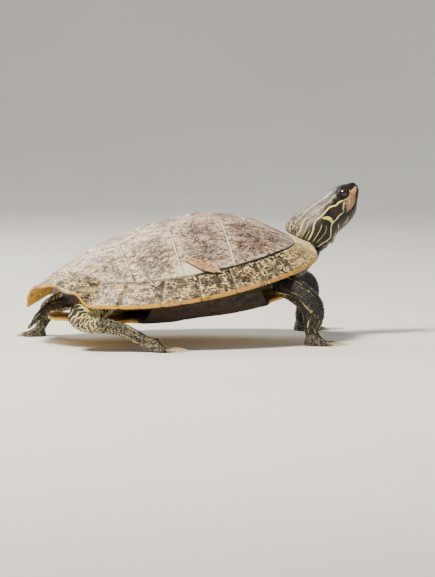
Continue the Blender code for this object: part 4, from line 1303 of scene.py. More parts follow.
        piece = grid_piece("peeling_flake", 12, 36, place)
        raise_points(piece, 0.18 * lumps(read_points(piece), 3.0, 6.0))
        thicken(piece, self.flake_thickness)
        store(piece, edge=5.0, dusty=0.8, peeled=0.0, pale_seam=0.0, crack=0.0, bleach=0.3)
        return finish_piece(piece, LIFTED_KERATIN.material(), Slot.DORSAL)

    def build(self) -> list[Piece]:
        """Build every plate of the back."""
        keratin = CarapaceKeratin().material()
        pieces = [self.vertebral(index, keratin) for index in range(5)]
        pieces += [self.costal(side, index, keratin) for side in Side for index in range(4)]
        return [*pieces, self.flake()]


@dataclass
class Rim:
    """The nuchal plate and the twelve marginal plates a side, each a closed curved wedge."""

    shape: ShellShape
    steps: int = 18
    around: int = 44
    groove_depth: float = 0.45
    plate_gap: float = 0.0004
    dark_turns: tuple = ((0.0, -0.10), (0.06, 0.10), (0.16, 0.22), (0.27, 0.34), (0.33, 0.42), (0.45, 0.34),
                         (0.52, 0.14), (0.60, 0.12), (0.80, 0.16), (1.0, 0.1))
    pale_turns: tuple = ((0.0, 1.0), (0.08, 0.75), (0.22, 0.5), (0.30, 0.15), (0.48, 0.0), (0.60, 0.05),
                         (0.76, 0.0), (0.90, 0.1), (1.0, 0.2))

    def section(self, q: Points, turn: Points, side: Points) -> Points:
        """Return points round the band's section: over the top, round the lip, back underneath.

        Args:
            q: 0 to 1 round the section, from the inner edge on top.
            turn: Where along the rim.
            side: 1 for the left, -1 for the right.

        Returns:
            Points in the shell's frame.
        """
        inner = self.shape.band_reach + 0.0005
        top = self.shape.point(inner + (0.985 - inner) * np.clip(q / 0.5, 0.0, 1.0), turn, side)
        share = 0.06 + 0.94 * np.clip((q - 0.65) / 0.27, 0.0, 1.0)
        under = self.shape.under_band(turn, side, share)
        bend = np.clip((q - 0.5) / 0.15, 0.0, 1.0)[..., None]
        middle = self.shape.point(1.0, turn, side)
        middle[..., 2] -= 0.5 * self.shape.lip_thickness
        lip = (1.0 - bend) ** 2 * top + 2.0 * bend * (1.0 - bend) * middle + bend ** 2 * under
        wall = np.clip((q - 0.92) / 0.08, 0.0, 1.0)[..., None]
        back = under + (self.shape.point(inner, turn, side) - under) * wall
        chosen = np.where((q < 0.5)[..., None], top, np.where((q < 0.65)[..., None], lip, under))
        return np.where((q > 0.92)[..., None], back, chosen)

    def plate(self, name: str, start: float, end: float, side: Side | None) -> Piece:
        """Build one plate between two turns; without a side it crosses the midline in front.

        Args:
            name: The piece's name.
            start: The turn where it starts.
            end: The turn where it ends.
            side: Which side, or none.

        Returns:
            The plate.
        """
        def place(u: Points, v: Points) -> Points:
            """Return places for u and v."""
            turn = start + (end - start) * v
            sign = np.where(turn < 0.0, -1.0, 1.0) if side is None else np.full_like(turn, side.value)
            return self.shape.world(self.section(u, np.abs(turn), sign))

        piece = grid_piece(name, self.around, self.steps, place)
        q, v = np.meshgrid(np.linspace(0.0, 1.0, self.around + 1), np.linspace(0.0, 1.0, self.steps + 1))
        q, v = q.ravel(), v.ravel()
        points = read_points(piece)
        border = (v < BORDER) | (v > 1.0 - BORDER) | (q < BORDER)
        store(piece, edge=nearest(points[border], points)[0])
        self.paint(piece, q, v, np.abs(start + (end - start) * v), side)
        edit(piece, lambda: bpy.ops.mesh.remove_doubles(threshold=WELD), face_outward)
        points = read_points(piece)
        stored = np.empty(len(points), dtype=np.float32)
        piece.data.attributes["edge"].data.foreach_get("value", stored)
        inside = ramp(stored / 1.3)
        height = 0.16 * lumps(points, 6.0, 2.0) * inside - self.groove_depth * (1.0 - inside)
        height += 0.05 * np.sin(2.0 * math.pi * stored / 2.0) * inside
        normals = read_normals(piece)
        if np.mean(normals[:20, 2]) < -0.5:
            normals = -normals
        write_points(piece, points + normals * height[:, None])
        edit(piece, lambda: bpy.ops.mesh.fill_holes(sides=0), face_outward)
        return piece

    def paint(self, piece: Piece, q: Points, v: Points, turn: Points, side: Side | None) -> None:
        """Store where a plate is smudged dark or blotched pale, and where its lip shows golden.

        Args:
            piece: The piece.
            q: 0 to 1 round the section.
            v: 0 to 1 along the plate.
            turn: Where along the rim, 0 in front and 1 behind.
            side: Which side, or none.
        """
        top = np.where(q < 0.6, 1.0, 0.0)
        near_seam = 1.0 - ramp(np.minimum(v, 1.0 - v) / 0.34)
        smudge = eased(self.dark_turns, turn) + 0.10 * near_seam
        under = 0.10 + 0.35 * near_seam * fade(q, 0.75, 0.15)
        store(piece, smudge=np.where(top > 0.0, smudge, under))
        store(piece, light=eased(self.pale_turns, turn))
        lip = rise(q, 0.486, 0.04)
        rear = rise(turn, 0.84, 0.08)
        under = np.where(q > 0.66, 0.55 + 0.25 * rear, 1.0)
        store(piece, lip=np.clip(lip * under, 0.0, 1.0))
        along = rise(turn, 0.16, 0.05) * fade(turn, 0.47, 0.05)
        on_inner = q < 0.12
        right = side is Side.RIGHT
        store(piece, crack=np.where(on_inner, 0.2 + 0.8 * along * right, 0.0))
        store(piece, pale_seam=np.where(on_inner, 0.2, 0.45))

    def build(self) -> list[Piece]:
        """Build the ring of plates round the shell."""
        keratin = MarginKeratin().material()
        first = MARGIN_SEAMS[0] - self.plate_gap
        front = self.plate("nuchal_scute", -first, first, None)
        pieces = [finish_piece(front, keratin, Slot.MARGIN, "nuchal")]
        for side in Side:
            plates = []
            for index, (start, end) in enumerate(zip(MARGIN_SEAMS, MARGIN_SEAMS[1:])):
                last = end if end < 1.0 else 1.0 - self.plate_gap
                plates.append(self.plate(f"marginal_{side.word}_{index + 1}", start + self.plate_gap,
                                         last - self.plate_gap, side))
            ring = join(f"marginal_scutes_{side.word}", plates)
            pieces.append(finish_piece(ring, keratin, Slot.MARGIN, f"marginals_{side.word}"))
        return pieces


@dataclass
class Plastron:
    """The belly's plates with the two bridges, as one plate whose seams are cut into it."""

    shape: ShellShape
    columns: int = 110
    rows: int = 150
    seams: tuple[float, ...] = (0.135, 0.235, 0.375, 0.565, 0.745)
    groove: float = 0.35
    arch: float = 5.0
    thickness: float = 2.6

    def seam_distance(self, level: Points) -> Points:
        """Return how far places in the shell's frame are from the nearest seam.

        Args:
            level: Places in the shell's frame.

        Returns:
            Distances.
        """
        station = 0.5 - level[:, 0] / self.shape.length
        bow = self.arch * np.cos(math.pi * np.clip(level[:, 1] / 55.0, -1.0, 1.0))
        gaps = [np.abs(level[:, 1])]
        for index, seam in enumerate(self.seams):
            way = 1.0 if index < 2 else -0.6
            gaps.append(np.abs((station - seam) * self.shape.length + way * (bow - self.arch)))
        bridged = (station > 0.31) & (station < 0.68)
        gaps.append(np.where(bridged, np.abs(np.abs(level[:, 1]) - 50.0), 99.0))
        return np.min(gaps, axis=0)

    def build(self) -> list[Piece]:
        """Build the plastron."""
        front, rear = self.shape.plastron_half[0][0], self.shape.plastron_half[-1][0]

        def place(u: Points, v: Points) -> Points:
            """Return places for u and v."""
            station = front + (rear - front) * v
            share = 2.0 * u - 1.0
            y = self.shape.belly_half(station) * share
            z = self.shape.belly_face(station, y) - self.shape.plastron_thickness
            return self.shape.world(np.stack((self.shape.length * (0.5 - station), y, z), axis=-1))

        piece = grid_piece("plastron_scutes", self.columns, self.rows, place)
        if np.mean(read_normals(piece)[:, 2]) > 0.0:
            flip(piece)
        level = self.shape.level(read_points(piece))
        gap = self.seam_distance(level)
        height = 0.12 * lumps(level, 9.0, 5.0) - self.groove * (1.0 - ramp(gap / 1.0))
        raise_points(piece, np.minimum(height, 0.0))
        store(piece, edge=gap)
        station = 0.5 - level[:, 0] / self.shape.length
        # bridge marks where the bridges get their painted shade
        store(piece, bridge=rise(np.abs(level[:, 1]), 46.0, 12.0) * rise(station, 0.12, 0.08))
        spot = np.hypot(((station * 8.0) % 1.0 - 0.5) * 2.0, (np.abs(level[:, 1]) - 26.0) / 14.0)
        store(piece, blot=0.55 * fade(spot, 0.2, 0.9) * fade(station, 0.78, 0.1))
        thicken(piece, self.thickness)
        return [finish_piece(piece, BellyKeratin().material(), Slot.BELLY, "plastron")]


# ---- limbs, neck and head: their paths -------------------------------------------
class Region(Enum):
    """The skin's regions that have a path of their own."""

    FORELEG_RIGHT = "foreleg_right"
    FORELEG_LEFT = "foreleg_left"
    HINDLEG_RIGHT = "hindleg_right"
    HINDLEG_LEFT = "hindleg_left"
    TAIL = "tail"


@dataclass(frozen=True)
class FootPlan:
    """A webbed foot that stands flat on the floor.

    Heel and reach are measured from the ankle; the rest is the ankle's height, half width and
    underside, the half width at the toes, the toes and their claws' length.
    """

    heading: float
    heel: float
    reach: float
    ankle_top: float
    ankle_half: float
    ankle_under: float
    toe_half: float
    toes: int
    claw: float
    toe_top: float = 3.4
    spread: float = math.radians(26.0)

    @property
    def forward(self) -> Points:
        """Return the way the foot points."""
        return np.array((math.cos(self.heading), math.sin(self.heading), 0.0))

    @property
    def sideways(self) -> Points:
        """Return the way across the foot."""
        return np.array((-math.sin(self.heading), math.cos(self.heading), 0.0))

    def fan(self, toe: int) -> float:
        """Return how far across the foot a toe lies, -1 to 1."""
        return 2.0 * (2 * toe + 1) / (2 * self.toes) - 1.0

    def splayed(self, across: float) -> Points:
        """Return the way a toe points that lies so far across the foot."""
        angle = self.heading + self.spread * across
        return np.array((math.cos(angle), math.sin(angle), 0.0))

    def surface(self, ankle: Points, u: Points, v: Points, upper: bool) -> Points:
        """Return places on the foot's upper or lower face, u across it and v from heel to toes.

        Args:
            ankle: Where the foot starts.
            u: Places across it.
            v: Places along it, heel to toes.
            upper: Whether the upper face is meant.

        Returns:
            Layout places.
        """
        total = self.heel + self.reach
        along = v * total - self.heel
        out = np.clip(along, 0.0, None) / self.reach
        across = 2.0 * u - 1.0
        ridge = np.cos(math.pi * (u * self.toes - 0.5)) ** 2
        half = self.ankle_half + (self.toe_half - self.ankle_half) * ramp(out * 1.2)
        if self.heel:
            rounded = np.sqrt(np.maximum(1.0 - 0.78 * (along / self.heel) ** 2, 0.0))
            half = half * np.where(along < 0.0, rounded, 1.0)
        shorter = (1.0 - 0.20 * across ** 2) * (1.0 - 0.26 * out * (1.0 - ridge ** 0.7))
        length = along * np.where(along > 0.0, shorter, 1.0)
        place = ankle * ON_FLOOR + self.forward * length[:, None] + self.sideways * (across * half)[:, None]
        crest = self.toe_top + (self.ankle_top - self.toe_top) * fade(out, 0.32, 0.5)
        crest = crest * (1.0 - 0.35 * rise(out, 0.9, 0.1))
        web = ramp(out * 1.3)
        dip = 1.0 - 0.62 * web * (1.0 - ridge)
        under = self.ankle_under * (1.0 - ramp(out / 0.4))
        round_off = (1.0 - 0.42 * across ** 4) * (1.0 - 0.7 * across ** 14)
        if self.heel:
            round_off = round_off * (0.45 + 0.55 * ramp((along + self.heel) / 2.4))
        top = under + (crest - under) * dip * round_off
        place[:, 2] = top if upper else under
        return place


@dataclass(frozen=True)
class Limb:
    """A leg or the tail: stations of x, y, z, half width across and half width the other way."""

    region: Region
    stations: tuple[Numbers, ...]
    bare: float                               # the share of its length that the shell hides
    foot: FootPlan | None = None
    sink: float = 12.0                        # how far the root reaches into the trunk
    thinner: float = 0.35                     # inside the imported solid, for the scales' depth
    level: Numbers = (0.0, 1.0, 0.0)          # the way its first half width is measured

    @property
    def ankle(self) -> Points:
        """Return the place where the foot starts."""
        return np.array(self.stations[-1][:3])

    def rows(self, steps: int) -> Points:
        """Return close stations along the limb."""
        return densify(self.stations, steps)

    def ways(self, rows: Points) -> Points:
        """Return the way the limb runs at each row."""
        return unit(np.gradient(rows[:, :3], axis=0))

    def rings(self, count: int, steps: int = 6) -> Points:
        """Return rings of points, from inside the trunk to inside the foot.

        Args:
            count: Points in a ring.
            steps: How many stations stand in for each one.

        Returns:
            An array of rings of points.
        """
        rows = self.rows(steps)
        ways = self.ways(rows)
        centres, half, other = rows[:, :3], rows[:, 3] - self.thinner, rows[:, 4] - self.thinner
        root = centres[0] - ways[0] * self.sink
        centres = np.vstack((root, centres))
        ways = np.vstack((ways[:1], ways))
        half, other = np.append(half[0] * 1.1, half), np.append(other[0] * 1.1, other)
        if self.foot:
            tip = centres[-1] * ON_FLOOR + (0.0, 0.0, 2.0 + self.foot.ankle_under) + 1.5 * self.foot.forward
            centres = np.vstack((centres, tip))
            ways = np.vstack((ways, ways[-1:]))
            half, other = np.append(half, half[-1] * 0.85), np.append(other, other[-1] * 0.85)
        across = np.tile(self.level, (len(centres), 1))
        return ovals(centres, ways, across, half, other, count)

    def frames_half(self, steps: int) -> Points:
        """Return the mean half width at close places along the limb."""
        return self.rows(steps)[:, 3:].mean(axis=1)

    def frames(self, steps: int = 10) -> tuple[Points, Points, Points, Points]:
        """Return close centres along the limb with their way, across and other directions.

        Args:
            steps: How many stations stand in for each one.

        Returns:
            Centres, ways, across and other directions.
        """
        rows = self.rows(steps)
        ways = self.ways(rows)
        across = np.tile(self.level, (len(rows), 1))
        across = unit(across - np.sum(across * ways, axis=-1, keepdims=True) * ways)
        return rows[:, :3], ways, across, np.cross(ways, across)


def round_limb(across: Points, other: Points, angle: float) -> Points:
    """Return the way out of a limb at an angle from its across direction to its other one."""
    return across * math.cos(angle) + other * math.sin(angle)


FOREFOOT = dict(heel=5.5, reach=14.5, ankle_top=9.0, ankle_half=6.4, ankle_under=0.0, toe_half=9.5, toes=5,
                claw=7.0)
LIMBS = (
    Limb(Region.FORELEG_RIGHT, ((71.5, -46.0, 44.6, 9.0, 8.6), (79.5, -55.5, 40.4, 9.0, 9.0),
                                (86.5, -60.5, 35.0, 9.0, 9.4), (91.0, -62.0, 28.0, 8.6, 9.0),
                                (91.8, -62.0, 21.0, 8.0, 8.2), (90.8, -62.0, 14.5, 7.0, 6.6),
                                (90.8, -62.0, 9.3, 6.2, 5.6)), 0.22,
         FootPlan(heading=math.radians(-8.0), **FOREFOOT)),
    Limb(Region.FORELEG_LEFT, ((75.0, 43.5, 46.3, 9.0, 8.4), (91.0, 50.0, 42.3, 8.8, 8.4),
                               (108.0, 55.5, 41.0, 8.2, 8.6), (120.5, 59.0, 38.0, 7.8, 8.0),
                               (124.0, 61.0, 28.0, 7.2, 7.6), (119.5, 62.0, 16.5, 6.6, 6.2),
                               (118.0, 62.5, 9.3, 6.2, 5.6)), 0.12,
         FootPlan(heading=math.radians(10.0), **FOREFOOT)),
    Limb(Region.HINDLEG_RIGHT, ((-59.0, -40.0, 31.2, 8.0, 9.6), (-71.0, -48.5, 30.0, 9.6, 10.2),
                                (-81.5, -54.6, 25.2, 8.2, 9.8), (-80.0, -62.6, 20.0, 6.4, 8.4),
                                (-69.0, -69.5, 19.2, 5.9, 7.2), (-57.0, -72.5, 16.8, 5.3, 6.5),
                                (-46.0, -75.5, 11.6, 4.8, 6.0), (-36.5, -78.5, 6.2, 4.3, 5.8)), 0.08,
         FootPlan(heading=math.radians(-18.0), heel=0.0, reach=17.0, ankle_top=10.2, ankle_half=6.2,
                  ankle_under=2.2, toe_half=10.5, toes=4, claw=12.5), level=(0.0, 0.0, 1.0)),
    Limb(Region.HINDLEG_LEFT, ((-66.0, 37.0, 30.0, 9.4, 7.6), (-74.5, 46.0, 27.4, 9.0, 7.6),
                               (-80.0, 54.0, 23.6, 8.4, 7.0), (-81.5, 60.0, 21.0, 7.6, 6.6),
                               (-83.0, 63.0, 16.0, 7.2, 5.4), (-85.0, 64.8, 11.0, 7.4, 4.6),
                               (-86.5, 65.5, 7.3, 7.2, 4.2)), 0.08,
         FootPlan(heading=math.radians(160.0), heel=4.0, reach=13.0, ankle_top=7.0, ankle_half=7.4,
                  ankle_under=0.0, toe_half=10.5, toes=4, claw=6.0)),
    Limb(Region.TAIL, ((-83.0, 1.0, 30.6, 5.2, 4.4), (-92.0, 2.5, 28.0, 4.4, 3.8),
                       (-100.0, 4.0, 21.5, 3.4, 3.0), (-105.0, 5.0, 15.5, 2.2, 1.9),
                       (-109.0, 6.0, 11.0, 1.1, 1.0)), 0.15, thinner=0.15),
)
# rings of the neck: x, y, z, degrees it faces over the level and to the right, half width, half depth
NECK = ((80.0, 3.0, 56.0, 0.0, 0.0, 15.0, 10.5), (90.8, 3.0, 55.6, 5.0, 0.0, 15.0, 10.5),
        (98.5, 4.0, 54.6, 14.0, 0.0, 12.6, 8.4), (104.6, 6.5, 57.8, 30.0, 0.0, 11.4, 6.2),
        (111.5, 8.5, 62.4, 44.0, 3.0, 11.4, 4.2), (114.6, 10.5, 68.1, 48.0, 5.0, 11.8, 4.3),
        (113.2, 11.5, 70.8, 64.0, 8.0, 13.6, 9.4), (107.2, 12.0, 74.2, 69.5, 8.0, 15.4, 17.0),
        (110.7, 12.0, 79.5, 65.0, 4.0, 16.3, 19.4))
# of the head: distance behind the tip, half width, height over the axis, depth under the axis
HEAD_STATIONS = ((0.0, 2.6, 2.4, 2.6), (0.9, 3.9, 3.4, 3.9), (3.0, 5.2, 4.6, 6.0), (6.5, 7.2, 7.3, 8.4),
                 (9.5, 9.0, 9.3, 9.9), (12.5, 10.4, 10.6, 12.0), (17.0, 12.2, 11.9, 14.5),
                 (22.0, 13.6, 12.8, 15.5), (28.0, 14.8, 14.6, 15.2), (33.0, 15.6, 17.0, 14.2),
                 (38.5, 16.2, 19.4, 13.2))


@dataclass(frozen=True)
class Line:
    """A line drawn on the skin: places along it, its half width and how cream it is."""

    places: tuple[Numbers, ...]
    half: float
    cream: float = 0.0


# seen from the side: (behind the snout, over the head's axis); both sides of the head carry them
HEAD_LINES = (
    Line(((17.0, 2.0), (21.0, 4.0), (24.0, 4.4), (28.5, 7.2), (38.0, 8.2), (44.0, 9.2), (51.5, 5.8),
          (59.0, 4.0)), 0.62),
    Line(((5.6, 6.8), (9.0, 9.4), (14.0, 11.2), (23.0, 12.4), (35.0, 16.4), (44.0, 18.8)), 0.52, 0.3),
    Line(((16.0, 8.4), (19.5, 9.4), (24.0, 9.6), (32.0, 11.6), (40.0, 14.2)), 0.30, 0.6),
    Line(((38.0, 6.2), (36.2, 4.4), (35.2, 2.2), (35.3, 0.4), (36.2, -1.4)), 1.35, -0.6),
    Line(((24.0, -3.6), (28.0, -2.4), (32.0, -2.2), (36.5, -1.8), (40.0, -3.6), (45.6, -8.2), (53.0, -6.2),
          (60.0, -4.0)), 0.46),
    Line(((41.5, 4.4), (46.4, 2.4), (53.4, 1.2), (60.0, 0.6)), 0.29),
    Line(((40.5, 1.2), (44.0, -1.6), (50.0, -2.4), (58.0, -1.8)), 0.27, 0.5),
    Line(((44.0, 14.6), (49.0, 15.6), (55.0, 13.6), (63.0, 11.6)), 0.50),
    Line(((45.0, 11.4), (48.5, 12.2), (54.0, 10.6), (61.0, 8.6)), 0.32, 0.6),
    Line(((50.0, 8.6), (55.0, 7.4), (61.0, 6.0)), 0.3, 0.6),
    Line(((7.0, 2.4), (9.4, 0.9), (12.6, 0.2), (15.4, 0.9), (17.6, 2.4)), 0.42, 0.5),
    Line(((17.3, 1.2), (21.6, -1.2), (23.6, -3.4)), 0.56, 0.6),
    Line(((23.1, -8.9), (27.5, -10.2), (31.2, -9.6)), 0.4, 0.7),
    Line(((32.8, -5.2), (35.0, -8.0), (36.2, -10.0)), 0.36, 0.7),
    Line(((38.5, -9.0), (46.0, -12.0), (54.0, -10.0)), 0.36, 0.4),
)
# seen from under the chin and from over the neck: (behind the snout, to the side)
CHIN_LINES = (
    Line(((6.0, 0.0), (14.0, 0.0), (20.0, 0.6), (30.0, 2.4), (46.0, 4.0)), 0.55),
    Line(((9.0, 2.6), (18.0, 5.2), (28.0, 7.6), (44.0, 8.6)), 0.55),
)
CROWN_LINES = (
    Line(((30.0, 2.6), (40.0, 3.2), (52.0, 3.4)), 0.36, 0.6),
    Line(((36.0, 7.2), (46.0, 8.0), (56.0, 8.2)), 0.4, 0.5),
)


@dataclass
class Markings:
    """The skin's lines and patches, laid on the finished skin and read by it and by its scales."""

    skin: Piece
    step: float = 0.3
    limb_room: float = 16.0                   # from a limb's middle to outside its skin
    foot_room: float = 24.0                   # from the floor to over the feet

    def __post_init__(self) -> None:
        """Lay out every line's places on the skin."""
        self.tree = tree_of(self.skin)
        self.places: list[Points] = []
        self.halves: list[float] = []
        self.creams: list[float] = []
        for sign in (-1.0, 1.0):
            for line in HEAD_LINES:
                self.cast(line, lambda way, sign=sign: ((way[0], sign * 40.0, way[1]), (0.0, -sign, 0.0)))
            for line in CHIN_LINES:
                self.cast(line, lambda way, sign=sign: ((way[0], sign * way[1], -45.0), (0.0, 0.0, 1.0)))
            for line in CROWN_LINES:
                self.cast(line, lambda way, sign=sign: ((way[0], sign * way[1], 45.0), (0.0, 0.0, -1.0)))
        for limb in LIMBS:
            self.limb_lines(limb)
            if limb.foot:
                self.toe_lines(limb)

    def head_ray(self, start: Numbers, way: Numbers) -> tuple[Points, Points]:
        """Return a ray's start and way in the layout from ones in the head's frame."""
        begin = head_place(np.array(start))
        return begin, head_place(np.array(start) + np.array(way)) - begin

    def cast(self, line: Line, ray: Callable[[Points], tuple[Numbers, Numbers]]) -> None:
        """Lay one line on the skin with rays that start and point in the head's frame.

        Args:
            line: The line.
            ray: Gives a ray's start and way for a place along the line.
        """
        rows = densify(line.places, 8)
        spans = run_lengths(rows)
        count = max(int(spans[-1] / self.step), 2)
        for at in np.linspace(0.0, spans[-1], count):
            way = np.array([np.interp(at, spans, rows[:, axis]) for axis in range(rows.shape[1])])
            taper = 0.45 + 0.55 * float(ramp(min(at, spans[-1] - at) / 3.0))
            self.mark(*self.head_ray(*ray(way)), FAR, line.half * taper, line.cream)

    def limb_lines(self, limb: Limb) -> None:
        """Lay lengthwise stripes round a limb, wandering a little.

        Args:
            limb: The leg or tail.
        """
        centres, _, across, other = limb.frames(14)
        short = limb.region is Region.TAIL
        behind = limb.region in (Region.HINDLEG_RIGHT, Region.HINDLEG_LEFT)
        spans = run_lengths(centres)
        count = 6 if short else 12
        for index in range(count):
            base = 2.0 * math.pi * (index + 0.35) / count
            half = 0.3 if short else (0.46 if index % 3 == 1 else 0.30)
            for at in range(int((0.46 if behind else 0.05) * len(centres)), int(0.97 * len(centres))):
                share = at / len(centres)
                angle = base + 0.18 * math.sin(5.0 * share + 2.1 * index)
                angle += 0.1 * math.sin(17.0 * share + index)
                width = half * (0.6 + 0.6 * math.sin(9.0 * share + index) ** 2)
                self.limb_spot(centres[at], round_limb(across[at], other[at], angle), width,
                               0.6 if index % 2 else 0.4)
        if behind:
            for hoop, start in enumerate(np.arange(2.0, 0.56 * spans[-1], 2.7)):
                for turn in np.arange(0.0, 2.0 * math.pi, 0.05):
                    reach = start + 1.1 * math.sin(2.0 * turn + 0.5 * hoop)
                    reach += 0.4 * math.sin(7.0 * turn + 1.3 * hoop)
                    at = int(np.clip(np.searchsorted(spans, reach), 0, len(centres) - 1))
                    self.limb_spot(centres[at], round_limb(across[at], other[at], turn),
                                   0.58 + 0.16 * math.sin(3.0 * turn + hoop), 0.6)

    def toe_lines(self, limb: Limb) -> None:
        """Lay a line down each toe and a thinner one down each web.

        Args:
            limb: The leg or tail.
        """
        plan = limb.foot
        for step in range(2 * plan.toes - 1):
            for v in np.linspace(0.42, 1.0, 50):
                across = np.array([(step + 1.0) / (2.0 * plan.toes)])
                spot = plan.surface(limb.ankle, across, np.array([v]), True)[0]
                self.mark((spot[0], spot[1], self.foot_room), DOWN, self.foot_room - 0.1,
                          0.2 if step % 2 else 0.34, 0.6)

    def limb_spot(self, centre: Points, way: Points, half: float, cream: float) -> None:
        """Lay one place of a limb's stripe on the skin, out from the limb's middle."""
        self.mark(centre + way * self.limb_room, -way, self.limb_room, half, cream)

    def mark(self, start: Numbers, way: Numbers, reach: float, half: float, cream: float) -> None:
        """Lay one place of a line where a ray from outside meets the skin.

        Args:
            start: Where the ray starts.
            way: The way it goes.
            reach: How far the ray goes.
            half: The line's half width there.
            cream: How cream the line is.
        """
        hit = self.tree.ray_cast(Vector(start), Vector(way), reach)[0]
        if hit is not None:
            self.places.append(np.array(hit))
            self.halves.append(half)
            self.creams.append(cream)

    def draw(self, piece: Piece) -> None:
        """Store the lines and patches on a piece of skin or on its scales.

        Args:
            piece: The piece.
        """
        points = read_points(piece)
        gap, index = nearest(self.places, points)
        store(piece, line=np.minimum(gap - np.array(self.halves)[index], 4.0))
        store(piece, cream=np.array(self.creams)[index])
        behind, side, over = head_measure(points).T
        blush = fade(np.hypot((behind - 27.5) / 6.0, (over - 2.6) / 3.4), 0.5, 0.6) * (np.abs(side) > 6.0)
        store(piece, blush=0.32 * blush * (points[:, 0] > 100.0))
        # painted highlight: where the pale sheen stands in for glare, strongest on the temple and weaker over
        # the crown
        temple_sheen = np.exp(-((behind - 40.0) / 7.0) ** 2 - ((over - 12.0) / 3.4) ** 2) * (points[:, 0] > 98.0)
        crown = 0.36 * rise(over, 8.5, 3.0) * rise(behind, 10.0, 5.0) * (points[:, 0] > 98.0)
        store(piece, film=np.clip(0.85 * temple_sheen + crown, 0.0, 0.9))
        # painted shade: lids within about 5 mm of each eye are laid black, for the shade round the eye
        to_eye = np.hypot(behind - EYE_CENTRE[0], over - EYE_CENTRE[2])
        to_eye = np.hypot(to_eye, np.abs(side) - EYE_CENTRE[1])
        store(piece, lid=fade(to_eye, 4.9, 0.9))
        nape = rise(behind, 46.0, 12.0) * rise(over, 8.0, 8.0) * (points[:, 0] > 85.0)
        cheek = np.exp(-((behind - 18.5) / 2.6) ** 2 - ((over + 0.6) / 2.2) ** 2) * (points[:, 0] > 110.0)
        down = ramp((-read_normals(piece)[:, 2] - 0.2) / 0.6)
        under = down * (points[:, 0] < 100.0) * (points[:, 2] > 12.0)
        shank = (ramp((-30.0 - points[:, 0]) / 6.0) * ramp((-58.0 - points[:, 1]) / 5.0)
                 * ramp((26.0 - points[:, 2]) / 4.0))
        store(piece, pale=np.clip(0.85 * nape + 0.9 * cheek + 0.35 * under + shank * (0.35 + 0.5 * down)
                                               + 0.24 * ramp((12.0 - points[:, 2]) / 6.0), 0.0, 1.0))
        head = ramp((42.0 - behind) / 10.0) * (points[:, 0] > 100.0)
        store(piece, beaded=1.0 - 0.75 * head)


